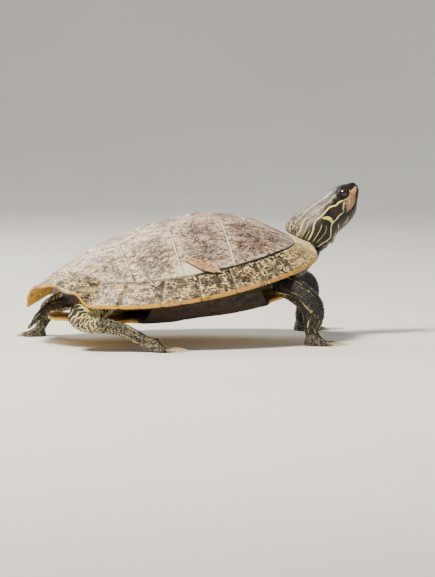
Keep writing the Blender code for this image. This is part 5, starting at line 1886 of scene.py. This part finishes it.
@dataclass
class Skin:
    """The one skin over trunk, neck, head, tail, legs and feet."""

    shape: ShellShape
    voxel: float = 0.98
    inset: float = 0.2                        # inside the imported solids
    trunk_reach: float = 0.795
    trunk_rounding: float = 7.6
    trunk_points: int = 48
    plate_room: float = 5.6
    belly_room: float = 2.2
    hidden_reach: float = 0.81                # the shell hides the trunk out to here
    hidden_rear: float = 0.70                 # and only to here behind the hips
    hip: float = -72.0
    neck_root: float = 92.0
    limb_room: float = 14.0
    hidden_share: float = 0.965               # of the hidden faces, how many go
    fine_zones: tuple = ((56.0, 99.0), (22.0, 105.0))     # behind the snout, and ahead of an x
    head_points: int = 64
    head_power: float = 0.9
    eye_radius: float = 4.1
    eye_opening: tuple[float, float] = (3.5, 2.75)
    lid_thickness: float = 0.5
    mouth: tuple = ((0.0, -3.0), (4.0, -3.6), (6.4, -4.4), (10.4, -7.4), (16.2, -7.8), (21.6, -6.6),
                    (25.0, -4.4), (29.5, -3.0))

    def trunk(self) -> Piece:
        """Build the body that fills the shell."""
        around = np.linspace(-1.0, 1.0, self.trunk_points + 1)[:-1]
        turns, sides = np.abs(around), np.where(around < 0.0, -1.0, 1.0)
        reaches = np.array((0.2, 0.4, 0.55, 0.68, 0.75, self.trunk_reach))
        rings = []
        for reach in reaches:
            face = self.shape.point(reach, turns, sides)
            face[:, 2] -= self.plate_room
            rings.append(self.shape.world(face))
        for reach in reaches[::-1]:
            face = self.shape.point(reach, turns, sides)
            station = 0.5 - face[:, 0] / self.shape.length
            face[:, 2] = self.shape.belly_face(station, face[:, 1]) + self.belly_room
            face[:, 2] += self.trunk_rounding * (reach / self.trunk_reach) ** 4
            rings.append(self.shape.world(face))
        return loft("trunk_form", np.array(rings))

    def neck_and_head(self) -> Piece:
        """Build the neck and the head as one form, from inside the trunk to the snout."""
        count = self.head_points
        rows = densify(NECK, 5)
        tilt, lean = np.radians(rows[:, 3]), np.radians(rows[:, 4])
        ways = np.stack((np.cos(tilt) * np.cos(lean), -np.sin(lean), np.sin(tilt) * np.cos(lean)), axis=-1)
        across = np.tile(HEAD_SIDE, (len(rows), 1))
        neck = ovals(rows[:, :3], ways, across, rows[:, 5] - self.inset, rows[:, 6] - self.inset, count)
        wide, tall = blunted(circle(count), self.head_power)
        head = []
        for behind, half, over, under in densify(HEAD_STATIONS, 5)[::-1]:
            depth = np.where(tall > 0.0, over, under) - self.inset
            ring = np.stack((np.full(count, behind), wide * (half - self.inset), tall * depth), axis=-1)
            head.append(head_place(ring))
        return loft("neck_and_head_form", np.vstack((neck, head)))

    def foot_form(self, limb: Limb) -> Piece:
        """Build a foot as a closed form, its two faces meeting round its edge.

        Args:
            limb: The leg or tail.

        Returns:
            The closed form.
        """

        def place(u: Points, v: Points) -> Points:
            """Return places for u and v."""
            upper = (u < 0.5) | (u > 0.999)
            across = np.where(u > 0.999, 0.0, np.where(upper, 2.0 * u, 2.0 - 2.0 * u))
            top = limb.foot.surface(limb.ankle, across, v, True)
            low = limb.foot.surface(limb.ankle, across, v, False)
            return np.where(upper[:, None], top, low)

        return tube_piece(f"{limb.region.value}_foot_form", limb.foot.toes * 20, 30, place)

    def refine(self, skin: Piece, behind: float, ahead: float) -> None:
        """Divide the head's faces once each way, so far behind the snout and ahead of an x.

        Args:
            skin: The skin.
            behind: How far behind the snout the faces may be.
            ahead: The x that they are ahead of.
        """
        activate(skin)
        middles = vectors(skin.data.polygons, "center") / MM - SHIFT
        pick = (head_measure(middles)[:, 0] < behind) & (middles[:, 0] > ahead)
        bpy.ops.object.mode_set(mode="EDIT")
        bpy.ops.mesh.select_mode(type="FACE")
        bpy.ops.mesh.select_all(action="DESELECT")
        bpy.ops.object.mode_set(mode="OBJECT")
        skin.data.polygons.foreach_set("select", pick.astype(bool))
        bpy.ops.object.mode_set(mode="EDIT")
        bpy.ops.mesh.subdivide(number_cuts=1, smoothness=0.0)
        bpy.ops.mesh.vertices_smooth(factor=0.5, repeat=2)
        bpy.ops.object.mode_set(mode="OBJECT")

    def thin_trunk(self, skin: Piece) -> None:
        """Keep only large faces on the part of the skin that the shell hides.

        Args:
            skin: The skin.
        """
        points = read_points(skin)
        level = self.shape.level(points)
        reach = self.shape.polar(level[:, 0], level[:, 1])[0]
        hidden = reach < np.where(level[:, 0] > self.hip, self.hidden_reach, self.hidden_rear)
        hidden &= points[:, 0] < self.neck_root
        for limb in LIMBS:
            hidden &= nearest(limb.frames(6)[0], points)[0] > self.limb_room
        group = skin.vertex_groups.new(name="hidden")
        group.add(np.flatnonzero(hidden).tolist(), 1.0, "REPLACE")
        apply_modifier(skin, "DECIMATE", ratio=1.0 - self.hidden_share * hidden.mean(), vertex_group="hidden")
        skin.vertex_groups.clear()

    def shape_head(self, skin: Piece) -> None:
        """Form the lids, nostrils, mouth, ear and the folds of the throat.

        Args:
            skin: The skin.
        """
        points = read_points(skin)
        normals = read_normals(skin)
        behind, side, over = head_measure(points).T
        near = (behind < 60.0) & (behind > -3.0) & (points[:, 0] > 98.0)
        slit = eased(self.mouth, behind)
        reach = fade(behind, 28.0, 3.0)
        groove = np.exp(-((over - slit) / 0.34) ** 2) * 0.75 * reach
        ear = np.hypot((behind - 30.0) / 3.6, (over - 0.6) / 3.2)
        drum = 0.35 * np.exp(-((ear - 1.0) / 0.22) ** 2) - 0.30 * (1.0 - ramp(ear / 0.9))
        crease = np.exp(-((over - slit - 1.6 - 0.12 * (behind - 24.0)) / 0.5) ** 2) * rise(behind, 25.0, 3.0)
        crease *= fade(behind, 38.0, 5.0)
        folds = np.sin(behind * 1.15 + 0.8 * np.sin(0.35 * side) + 1.2 * lumps(points, 9.0, 1.0))
        fold_share = rise(behind, 40.0, 8.0) * (0.35 + 0.65 * rise(-over, -2.0, 8.0))
        height = -groove + drum - 0.3 * crease + 0.38 * folds * fold_share + 0.10 * lumps(points, 3.0, 2.0)
        for sign in (-1.0, 1.0):
            hole = np.hypot((side - sign * 1.35) / 0.6, (over - 1.1) / 0.55)
            hole = np.hypot(hole, np.maximum(behind - 2.4, 0.0))
            height -= 0.9 * fade(hole, 0.4, 0.7)
            height += 0.18 * np.exp(-((hole - 1.5) / 0.4) ** 2)
        points = points + normals * np.where(near, height, 0.0)[:, None]
        for sign in (-1.0, 1.0):
            points = self.lids(points, sign)
        write_points(skin, points)

    def lids(self, points: Points, sign: float) -> Points:
        """Wrap the skin round one eyeball and open the lids.

        Args:
            points: The skin's vertices.
            sign: 1 for the left eye, -1 for the right.

        Returns:
            The moved vertices.
        """
        centre = eye_centre(sign)
        gaze, forward, up = eye_axes(sign)
        offset = points - centre
        out, ahead, high = offset @ gaze, offset @ forward, offset @ up
        lean = high - 0.10 * ahead
        wide, tall = self.eye_opening
        across = np.hypot(ahead / wide, lean / np.where(lean > 0.0, tall, tall * 0.95))
        reach = np.linalg.norm(offset, axis=1)
        near = (out > 0.0) & (reach < 11.0)
        rim = self.eye_radius + self.lid_thickness
        lid = rim + 0.22 * np.exp(-((across - 1.22) / 0.10) ** 2)
        lid = lid - 0.18 * np.exp(-((across - 1.55) / 0.10) ** 2)
        socket = self.eye_radius - 1.5
        blend = fade(across, 1.45, 0.75)
        target = np.where(across < 1.0, socket + (lid - socket) * rise(across, 0.90, 0.10),
                          reach + (lid - reach) * blend)
        moved = centre + unit(offset) * target[:, None]
        return np.where((near & (across < 2.2))[:, None], moved, points)

    def shape_limbs(self, skin: Piece) -> None:
        """Fold the skin at the joints and where the limbs leave the shell.

        Args:
            skin: The skin.
        """
        points = read_points(skin)
        normals = read_normals(skin)
        height = np.zeros(len(points))
        for limb in LIMBS:
            centres, ways, _, _ = limb.frames(8)
            gap, index = nearest(centres, points)
            share = index / len(centres)
            along = run_lengths(centres)[index] + np.sum((points - centres[index]) * ways[index], axis=1)
            wave = np.sin(along * 1.5 + 1.6 * lumps(points, 6.0, 7.0))
            ease = fade(share, 0.55, 0.3) * fade(gap, 12.0, 5.0)
            height += 0.15 * wave * ease
        height += 0.16 * lumps(points, 2.4, 8.0)
        off_head = points[:, 0] < 100.0
        points = points + normals * np.where(off_head, height, 0.0)[:, None]
        points[:, 2] = np.maximum(points[:, 2], 0.03)
        low = points[:, 2] < 0.45
        points[low, 2] = 0.03
        write_points(skin, points)

    def build(self) -> Piece:
        """Build the bare skin."""
        forms = [self.trunk(), self.neck_and_head()]
        for limb in LIMBS:
            forms.append(loft(f"{limb.region.value}_form", limb.rings(32)))
            if limb.foot:
                forms.append(self.foot_form(limb))
        skin = join("skin", forms)
        apply_modifier(skin, "REMESH", mode="VOXEL", voxel_size=self.voxel * MM)
        soften(skin, 4)
        self.thin_trunk(skin)
        for behind, ahead in self.fine_zones:
            self.refine(skin, behind, ahead)
        self.shape_head(skin)
        self.shape_limbs(skin)
        return skin


def eye_centre(sign: float) -> Points:
    """Return the middle of the left eye for 1, of the right one for -1, in the layout."""
    return head_place(np.array((EYE_CENTRE[0], sign * EYE_CENTRE[1], EYE_CENTRE[2])))


def eye_axes(sign: float) -> tuple[Points, Points, Points]:
    """Return the way an eye looks, its forward and its up, in the layout."""
    gaze = unit(HEAD_SIDE * sign * 0.93 + HEAD_AXIS * 0.30 + HEAD_UP * 0.22)
    forward = unit(HEAD_AXIS - gaze * float(HEAD_AXIS @ gaze))
    return gaze, forward, np.cross(gaze, forward) * sign * -1.0


# ---- eyes, beak and claws --------------------------------------------------------
@dataclass
class Eyes:
    """The two eyeballs, each with a low clear bulge over its iris."""

    radius: float = 4.05
    bulge: float = 0.32
    bulge_angle: float = math.radians(36.0)
    limbus: float = math.radians(40.0)

    def build(self) -> list[Piece]:
        """Build both eyes."""
        gloss = EyeGloss().material()
        return [self.ball(side, gloss) for side in Side]

    def ball(self, side: Side, gloss: Finish) -> Piece:
        """Build one eyeball with its pole turned the way it looks.

        Args:
            side: Which side, or for numbers 1 for the left and -1 for the right.
            gloss: Its finish.

        Returns:
            The finished eyeball.
        """
        clear_selection()
        bpy.ops.mesh.primitive_uv_sphere_add(segments=56, ring_count=40, radius=self.radius * MM)
        ball = bpy.context.object
        ball.name = f"eyeball_{side.word}"
        gaze, forward, up = eye_axes(float(side.value))
        local = vectors(ball.data.vertices, "co") / MM
        polar = np.arccos(np.clip(local[:, 2] / self.radius, -1.0, 1.0))
        swell = self.bulge * (1.0 - ramp(polar / self.bulge_angle))
        local = local * (1.0 + swell / self.radius)[:, None]
        store(ball, gaze=np.clip(polar / self.limbus, 0.0, 2.0))
        store(ball, bar=np.abs(local[:, 1]) / self.radius)
        places = local[:, :1] * forward + local[:, 1:2] * up + local[:, 2:3] * gaze
        write_points(ball, eye_centre(float(side.value)) + places)
        edit(ball, face_outward)
        return finish_piece(ball, gloss, Slot.EYE, f"eye_{side.word}")


@dataclass
class Beak:
    """The horny edge of the upper jaw, and the thin one of the lower jaw."""

    skin: Skin
    tree: BVHTree
    corner: float = 22.4
    top: tuple = ((0.0, -0.4), (3.0, 0.4), (6.0, 1.4), (8.6, 1.6), (13.1, -0.4), (17.7, -2.0), (22.4, -5.4))
    stand: float = 0.32
    thickness: float = 1.1

    def mouth(self, behind: Points | float) -> Points:
        """Return how high the mouth is over the head's axis."""
        return eased(self.skin.mouth, behind)

    def drape(self, name: str, low: Callable[[Points], Points], high: Callable[[Points], Points],
              columns: int, rows: int, corner: float) -> Piece:
        """Lay a strip on the snout from one mouth corner round to the other.

        Args:
            name: The piece's name.
            low: The strip's lower edge, over the head's axis, for distances behind the snout.
            high: Its upper edge.
            columns: Faces along it.
            rows: Faces across it.
            corner: How far back the strip goes.

        Returns:
            The strip with its thickness.
        """
        def place(u: Points, v: Points) -> Points:
            """Return places for u and v."""
            turn = 2.0 * u - 1.0
            found = []
            for across, climb in zip(turn, v):
                back = corner * abs(across) ** 1.5
                over = float(low(back)) + (float(high(back)) - float(low(back))) * climb
                angle = (math.pi / 2.0) * np.clip(across * 2.3, -1.0, 1.0)
                axis_at = back + 7.0 * (1.0 - abs(across)) ** 2
                outward = HEAD_SIDE * math.sin(angle) + HEAD_AXIS * math.cos(angle)
                middle = head_place(np.array((axis_at, 0.0, over)))
                begin = middle + outward * 26.0
                hit = self.tree.ray_cast(Vector(begin), Vector(-outward), 26.0)
                if hit[0] is None:
                    found.append(middle)
                    continue
                edge = math.sin(math.pi * climb) ** 0.5 * (1.0 - 0.6 * ramp((abs(across) - 0.85) / 0.15))
                found.append(np.array(hit[0]) + outward * (self.stand * (0.35 + 0.65 * float(edge))))
            return np.array(found)

        piece = grid_piece(name, columns, rows, place)
        soften(piece, 2)
        middle = head_place(np.array((8.0, 0.0, -3.0)))
        if np.mean(np.sum(read_normals(piece) * (read_points(piece) - middle), axis=1)) < 0.0:
            flip(piece)
        thicken(piece, self.thickness)
        return piece

    def build(self) -> list[Piece]:
        """Build both strips."""
        horn, dark = BEAK_HORN.material(), JAW_HORN.material()
        upper = self.drape("beak_upper", lambda back: self.mouth(back) + 0.12,
                           lambda back: eased(self.top, back), 120, 22, self.corner)
        lower = self.drape("beak_lower", lambda back: self.mouth(back) - 2.2 + 1.2 * rise(back, 12.0, 9.0),
                           lambda back: self.mouth(back) - 0.22, 110, 12, self.corner - 1.5)
        for piece in (upper, lower):
            behind, side, over = head_measure(read_points(piece)).T
            store(piece, tip=ramp((8.0 - behind) / 4.0) * rise(over, -2.6, 2.5))
            lip = 1.0 - ramp((over - self.mouth(behind)) / 1.3)
            drawn_out = np.stack((behind, side * 0.3, over * 0.35), axis=-1)
            streaks = 0.5 * ramp(0.2 + 1.6 * lumps(drawn_out, 1.5, 5.0))
            store(piece, stain=np.clip(0.8 * lip + streaks + 0.95 * ramp((3.0 - behind) / 1.6), 0.0, 1.0))
        return [finish_piece(upper, horn, Slot.BEAK, "upper_beak"), finish_piece(lower, dark, Slot.BEAK)]


@dataclass
class Claws:
    """The claws of one foot: curved, keeled cones that start inside the toes."""

    limb: Limb
    around: int = 14
    along: int = 16
    root: float = 1.5
    sink: float = 2.4

    def one(self, toe: int) -> Piece:
        """Build one claw.

        Args:
            toe: Which toe, from 0.

        Returns:
            The claw.
        """
        plan = self.limb.foot
        u = np.array([(toe + 0.5) / plan.toes])
        tip, floor = (plan.surface(self.limb.ankle, u, np.ones(1), upper)[0] for upper in (True, False))
        start = 0.5 * (tip + floor)
        way = plan.splayed(plan.fan(toe))
        steps = np.linspace(0.0, 1.0, self.along + 1)
        radius = self.root * (1.0 - steps) ** 0.72 + 0.1
        total = plan.claw + self.sink
        drop = (start[2] - 0.35) * steps ** 1.7
        centres = start + way * (total * steps - self.sink)[:, None]
        centres[:, 2] = np.maximum(start[2] + 0.9 * np.sin(math.pi * steps) - drop, radius * 0.95 + 0.05)
        ways = unit(np.gradient(centres, axis=0))
        across = np.tile((-way[1], way[0], 0.0), (len(steps), 1))
        rings = ovals(centres, ways, across, radius * 0.74, radius, self.around, 0.9)
        claw = loft(f"{self.limb.region.value}_claw_form_{toe + 1}", rings)
        offset = (read_points(claw) - start) @ way
        store(claw, tip=ramp(offset / plan.claw))
        store(claw, stain=0.6 * (1.0 - ramp(offset / 2.0)))
        return claw

    def build(self, horn: Finish) -> Piece:
        """Build the foot's claws as one piece.

        Args:
            horn: Their finish.

        Returns:
            What was built.
        """
        name = self.limb.region.value
        claws = join(f"{name}_claws", [self.one(toe) for toe in range(self.limb.foot.toes)])
        nodes = [f"{name}_claw_{toe + 1}" for toe in range(self.limb.foot.toes)]
        return finish_piece(claws, horn, Slot.CLAW, *nodes)


# ---- the scales ------------------------------------------------------------------
@dataclass
class Scales:
    """Overlapping solid scales over the legs, feet and tail, one thin plate each."""

    tree: BVHTree
    corners: int = 8
    sunk: float = 0.22
    patch: float = 0.0015                     # half of a scale's patch on the unwrap
    rows_apart: float = 1.75
    room: float = 15.0                        # from a limb's middle to outside its skin
    foot_room: float = 24.0                   # from the floor to over the feet

    def outline(self, long: float, wide: float) -> Points:
        """Return a scale's outline, (toward the toes, across), blunt in front."""
        along, across = blunted(circle(self.corners), 0.8)
        return np.stack((along * 0.5 * long, across * 0.5 * wide), axis=-1)

    def plate(self, place: Points, normal: Points, way: Points, long: float, wide: float,
              high: float) -> Points:
        """Return the points of one scale: sunk ring, raised ring, crown.

        Args:
            place: Its middle on the skin.
            normal: The skin's normal there.
            way: Toward the toes.
            long: Its length.
            wide: Its width.
            high: How far it stands out.

        Returns:
            The plate.
        """
        way = unit(way - normal * float(way @ normal))
        side = np.cross(normal, way)
        flat = self.outline(long, wide)
        base = place + flat[:, :1] * way + flat[:, 1:] * side
        tilt = 0.5 + flat[:, 0] / long
        lower = base - normal * self.sunk
        upper = place + 0.80 * (base - place) + normal * (high * (0.35 + 0.65 * tilt))[:, None]
        crown = place + way * 0.12 * long + normal * high
        return np.vstack((lower, upper, crown))

    def mesh(self, name: str, plates: list[Points], roots: list[Numbers]) -> Piece:
        """Join scales into one mesh with its unwrap map.

        Args:
            name: The piece's name.
            plates: The scales so far, as points.
            roots: The middles of the scales' patches on the unwrap.

        Returns:
            The new piece.
        """
        n = self.corners
        each = 2 * n + 1
        faces = [(k, (k + 1) % n, n + (k + 1) % n, n + k) for k in range(n)]
        faces += [(n + k, n + (k + 1) % n, 2 * n) for k in range(n)]
        faces += [tuple(range(n - 1, -1, -1))]
        every = [tuple(corner + index * each for corner in face)
                 for index in range(len(plates)) for face in faces]
        mesh = bpy.data.meshes.new(name)
        mesh.from_pydata([tuple(point) for point in (np.vstack(plates) + SHIFT) * MM], [], every)
        ring = np.stack((np.cos(circle(n)), np.sin(circle(n))), axis=-1) * self.patch
        local = np.vstack((ring, ring * 0.8, np.zeros((1, 2))))
        flat = np.vstack([np.array(root) + local for root in roots])
        layer = mesh.uv_layers.new(name="OFBake")
        loops = np.empty(len(mesh.loops), dtype=int)
        mesh.loops.foreach_get("vertex_index", loops)
        layer.data.foreach_set("uv", flat[loops].ravel())
        piece = bpy.data.objects.new(name, mesh)
        bpy.context.scene.collection.objects.link(piece)
        return piece

    def on_limb(self, order: int, limb: Limb) -> Piece:
        """Cover one limb and its foot.

        Args:
            order: The limb's place among the limbs.
            limb: The leg or tail.

        Returns:
            The limb's scales as one piece.
        """
        centres, ways, across, other = limb.frames(12)
        spans = run_lengths(centres)
        plates, roots = [], []
        apart = self.rows_apart * (0.75 if limb.foot is None else 1.0)
        end = spans[-1] - (1.5 if limb.foot is None else 2.0)
        for row, at in enumerate(np.arange(limb.bare * spans[-1] + 2.0, end, apart)):
            index = int(np.searchsorted(spans, at))
            share = at / spans[-1]
            widths = np.interp(at, spans, limb.frames_half(12))
            around = max(int(2.0 * math.pi * widths / (1.9 + 0.9 * float(rise(share, 0.45, 0.2)))), 8)
            for step in range(around):
                angle = 2.0 * math.pi * (step + 0.5 * (row % 2)) / around
                way = round_limb(across[index], other[index], angle)
                hit = self.tree.ray_cast(Vector(centres[index] + way * self.room), Vector(-way), self.room)
                if hit[0] is None or hit[0].z < 1.6:
                    continue
                front = 0.5 + 0.5 * math.sin(angle)
                size = 1.0 + 0.35 * front * float(rise(share, 0.4, 0.2))
                wide = 2.0 * math.pi * widths / around * 1.02
                plates.append(self.plate(np.array(hit[0]), np.array(hit[1]), ways[index], apart * 1.35, wide,
                                         0.17 * size))
                turn = angle / (2.0 * math.pi) % 1.0
                roots.append((0.02 + 0.19 * order + 0.17 * turn, 0.05 + 0.55 * share))
        if limb.foot:
            self.on_foot(order, limb, plates, roots)
        return self.mesh(f"{limb.region.value}_scales", plates, roots)

    def on_foot(self, order: int, limb: Limb, plates: list[Points], roots: list[Numbers]) -> None:
        """Add the scales of a foot: a wide one across each toe, small ones on the web and ankle.

        Args:
            order: The limb's place among the limbs.
            limb: The leg or tail.
            plates: The scales so far, as points.
            roots: The middles of the scales' patches on the unwrap.
        """
        plan = limb.foot
        rows = int((plan.heel + plan.reach) / 1.45)
        for row in range(1, rows):
            v = row / rows
            for toe in range(plan.toes * 2 - 1):
                on_toe = toe % 2 == 0
                u = (toe + 1.0) / (2.0 * plan.toes)
                spot = plan.surface(limb.ankle, np.array([u]), np.array([v]), True)[0]
                above = Vector((spot[0], spot[1], self.foot_room))
                hit = self.tree.ray_cast(above, Vector(DOWN), self.foot_room)
                if hit[0] is None or hit[0].z > plan.ankle_top + 0.6 or hit[0].z < 0.5:
                    continue
                way = plan.splayed(2.0 * u - 1.0)
                wide = (3.0 if on_toe else 1.5) * (0.75 + 0.25 * v)
                plates.append(self.plate(np.array(hit[0]), np.array(hit[1]), way, 1.95, wide,
                                         0.26 if on_toe else 0.14))
                roots.append((0.02 + 0.19 * order + 0.17 * u, 0.66 + 0.30 * v))

    def build(self, markings: Markings, leather: Finish) -> list[Piece]:
        """Build the scales of every limb, marked like the skin under them.

        Args:
            markings: The skin's lines and patches.
            leather: The skin's finish.

        Returns:
            What was built.
        """
        pieces = []
        for order, limb in enumerate(LIMBS):
            piece = self.on_limb(order, limb)
            markings.draw(piece)
            pieces.append(finish_piece(piece, leather, Slot.SKIN))
        return pieces


# ---- the studio ------------------------------------------------------------------
@dataclass(frozen=True)
class Lamp:
    """An area light: its name, place, aim and size in metres, and its power in watts."""

    name: str
    place: tuple[float, float, float]
    size: float
    power: float
    tint: str

    def add(self, aim: Vector) -> None:
        """Add the lamp, aimed at a point.

        Args:
            aim: Where the lamp points.
        """
        light = bpy.data.lights.new(self.name, "AREA")
        light.shape = "DISK"
        light.size = self.size
        light.energy = self.power
        light.color = linear(self.tint)[:3]
        thing = bpy.data.objects.new(self.name, light)
        thing.location = self.place
        thing.rotation_euler = (aim - Vector(self.place)).to_track_quat("-Z", "Y").to_euler()
        bpy.context.scene.collection.objects.link(thing)


@dataclass
class Studio:
    """A pale sweep of floor, soft lamps and the camera."""

    azimuth: float = math.radians(-14.5)
    elevation: float = math.radians(4.5)
    distance: float = 2.8
    lens: float = 233.6
    aim: tuple[float, float, float] = (0.0165, 0.0060, 0.0388)
    back: float = 1.6                         # where the floor bends up, in metres
    bend: float = 1.2                         # and its radius there
    sky: str = "#e8ecf0"
    sky_strength: float = 0.36
    lamps: tuple[Lamp, ...] = (
        Lamp("key_lamp", (-0.75, -0.35, 1.35), 0.40, 54.0, "#fff2df"),
        Lamp("fill_lamp", (1.1, -1.2, 0.5), 1.2, 3.5, "#e6efff"),
        Lamp("rim_lamp", (-0.4, 1.1, 0.9), 0.8, 14.0, "#fff8ee"),
    )

    def floor(self) -> Piece:
        """Build the floor and the backdrop as one curved sheet."""
        clear_selection()
        bpy.ops.mesh.primitive_plane_add(size=1.0)
        sweep = bpy.context.object
        sweep.name = "studio_sweep"
        rows = [(-4.0, 0.0), (self.back, 0.0)]
        rows += [(self.back + math.sin(turn) * self.bend, self.bend - math.cos(turn) * self.bend)
                 for turn in np.linspace(0.1, math.pi / 2, 14)]
        rows += [(self.back + self.bend, 4.0)]
        body = bmesh.new()
        edges = [(body.verts.new((-5.0, y, z)), body.verts.new((5.0, y, z))) for y, z in rows]
        for (a, b), (c, d) in zip(edges, edges[1:]):
            body.faces.new((a, b, d, c))
        body.to_mesh(sweep.data)
        body.free()
        sweep.rotation_euler = (0.0, 0.0, self.azimuth)
        sweep.data.shade_smooth()
        sweep.data.materials.append(MattePaper().material())
        return sweep

    def camera(self) -> None:
        """Add the camera."""
        back = Vector((math.sin(self.azimuth) * math.cos(self.elevation),
                       -math.cos(self.azimuth) * math.cos(self.elevation), math.sin(self.elevation)))
        data = bpy.data.cameras.new("view")
        data.lens = self.lens
        data.sensor_width = 36.0
        thing = bpy.data.objects.new("view", data)
        thing.location = Vector(self.aim) + back * self.distance
        thing.rotation_euler = (-back).to_track_quat("-Z", "Y").to_euler()
        bpy.context.scene.collection.objects.link(thing)
        bpy.context.scene.camera = thing

    def build(self) -> None:
        """Set up the studio."""
        self.floor()
        for lamp in self.lamps:
            lamp.add(Vector(self.aim))
        world = bpy.data.worlds.new("soft_room")
        world.use_nodes = True
        world.node_tree.nodes["Background"].inputs["Color"].default_value = linear(self.sky)
        world.node_tree.nodes["Background"].inputs["Strength"].default_value = self.sky_strength
        bpy.context.scene.world = world
        self.camera()


def main() -> None:
    """Build the turtle and its studio."""
    logging.basicConfig(level=logging.INFO, format="%(name)s: %(message)s")
    shape = ShellShape()
    Studio().build()
    Carapace(shape).build()
    Rim(shape).build()
    Plastron(shape).build()
    maker = Skin(shape)
    skin = maker.build()
    tree = tree_of(skin)
    leather = SlickSkin().material()
    markings = Markings(skin)
    markings.draw(skin)
    flesh = ["trunk", "neck", "head", "lower_jaw", "tail"]
    flesh += [f"{limb.region.value}_{part}" for limb in LIMBS if limb.foot
              for part in ("upper", "lower", "foot")]
    finish_piece(skin, leather, Slot.SKIN, *flesh)
    Scales(tree).build(markings, leather)
    Eyes().build()
    Beak(maker, tree).build()
    claw_horn = CLAW_HORN.material()
    for limb in LIMBS:
        if limb.foot:
            Claws(limb).build(claw_horn)


if __name__ == "__main__":
    main()
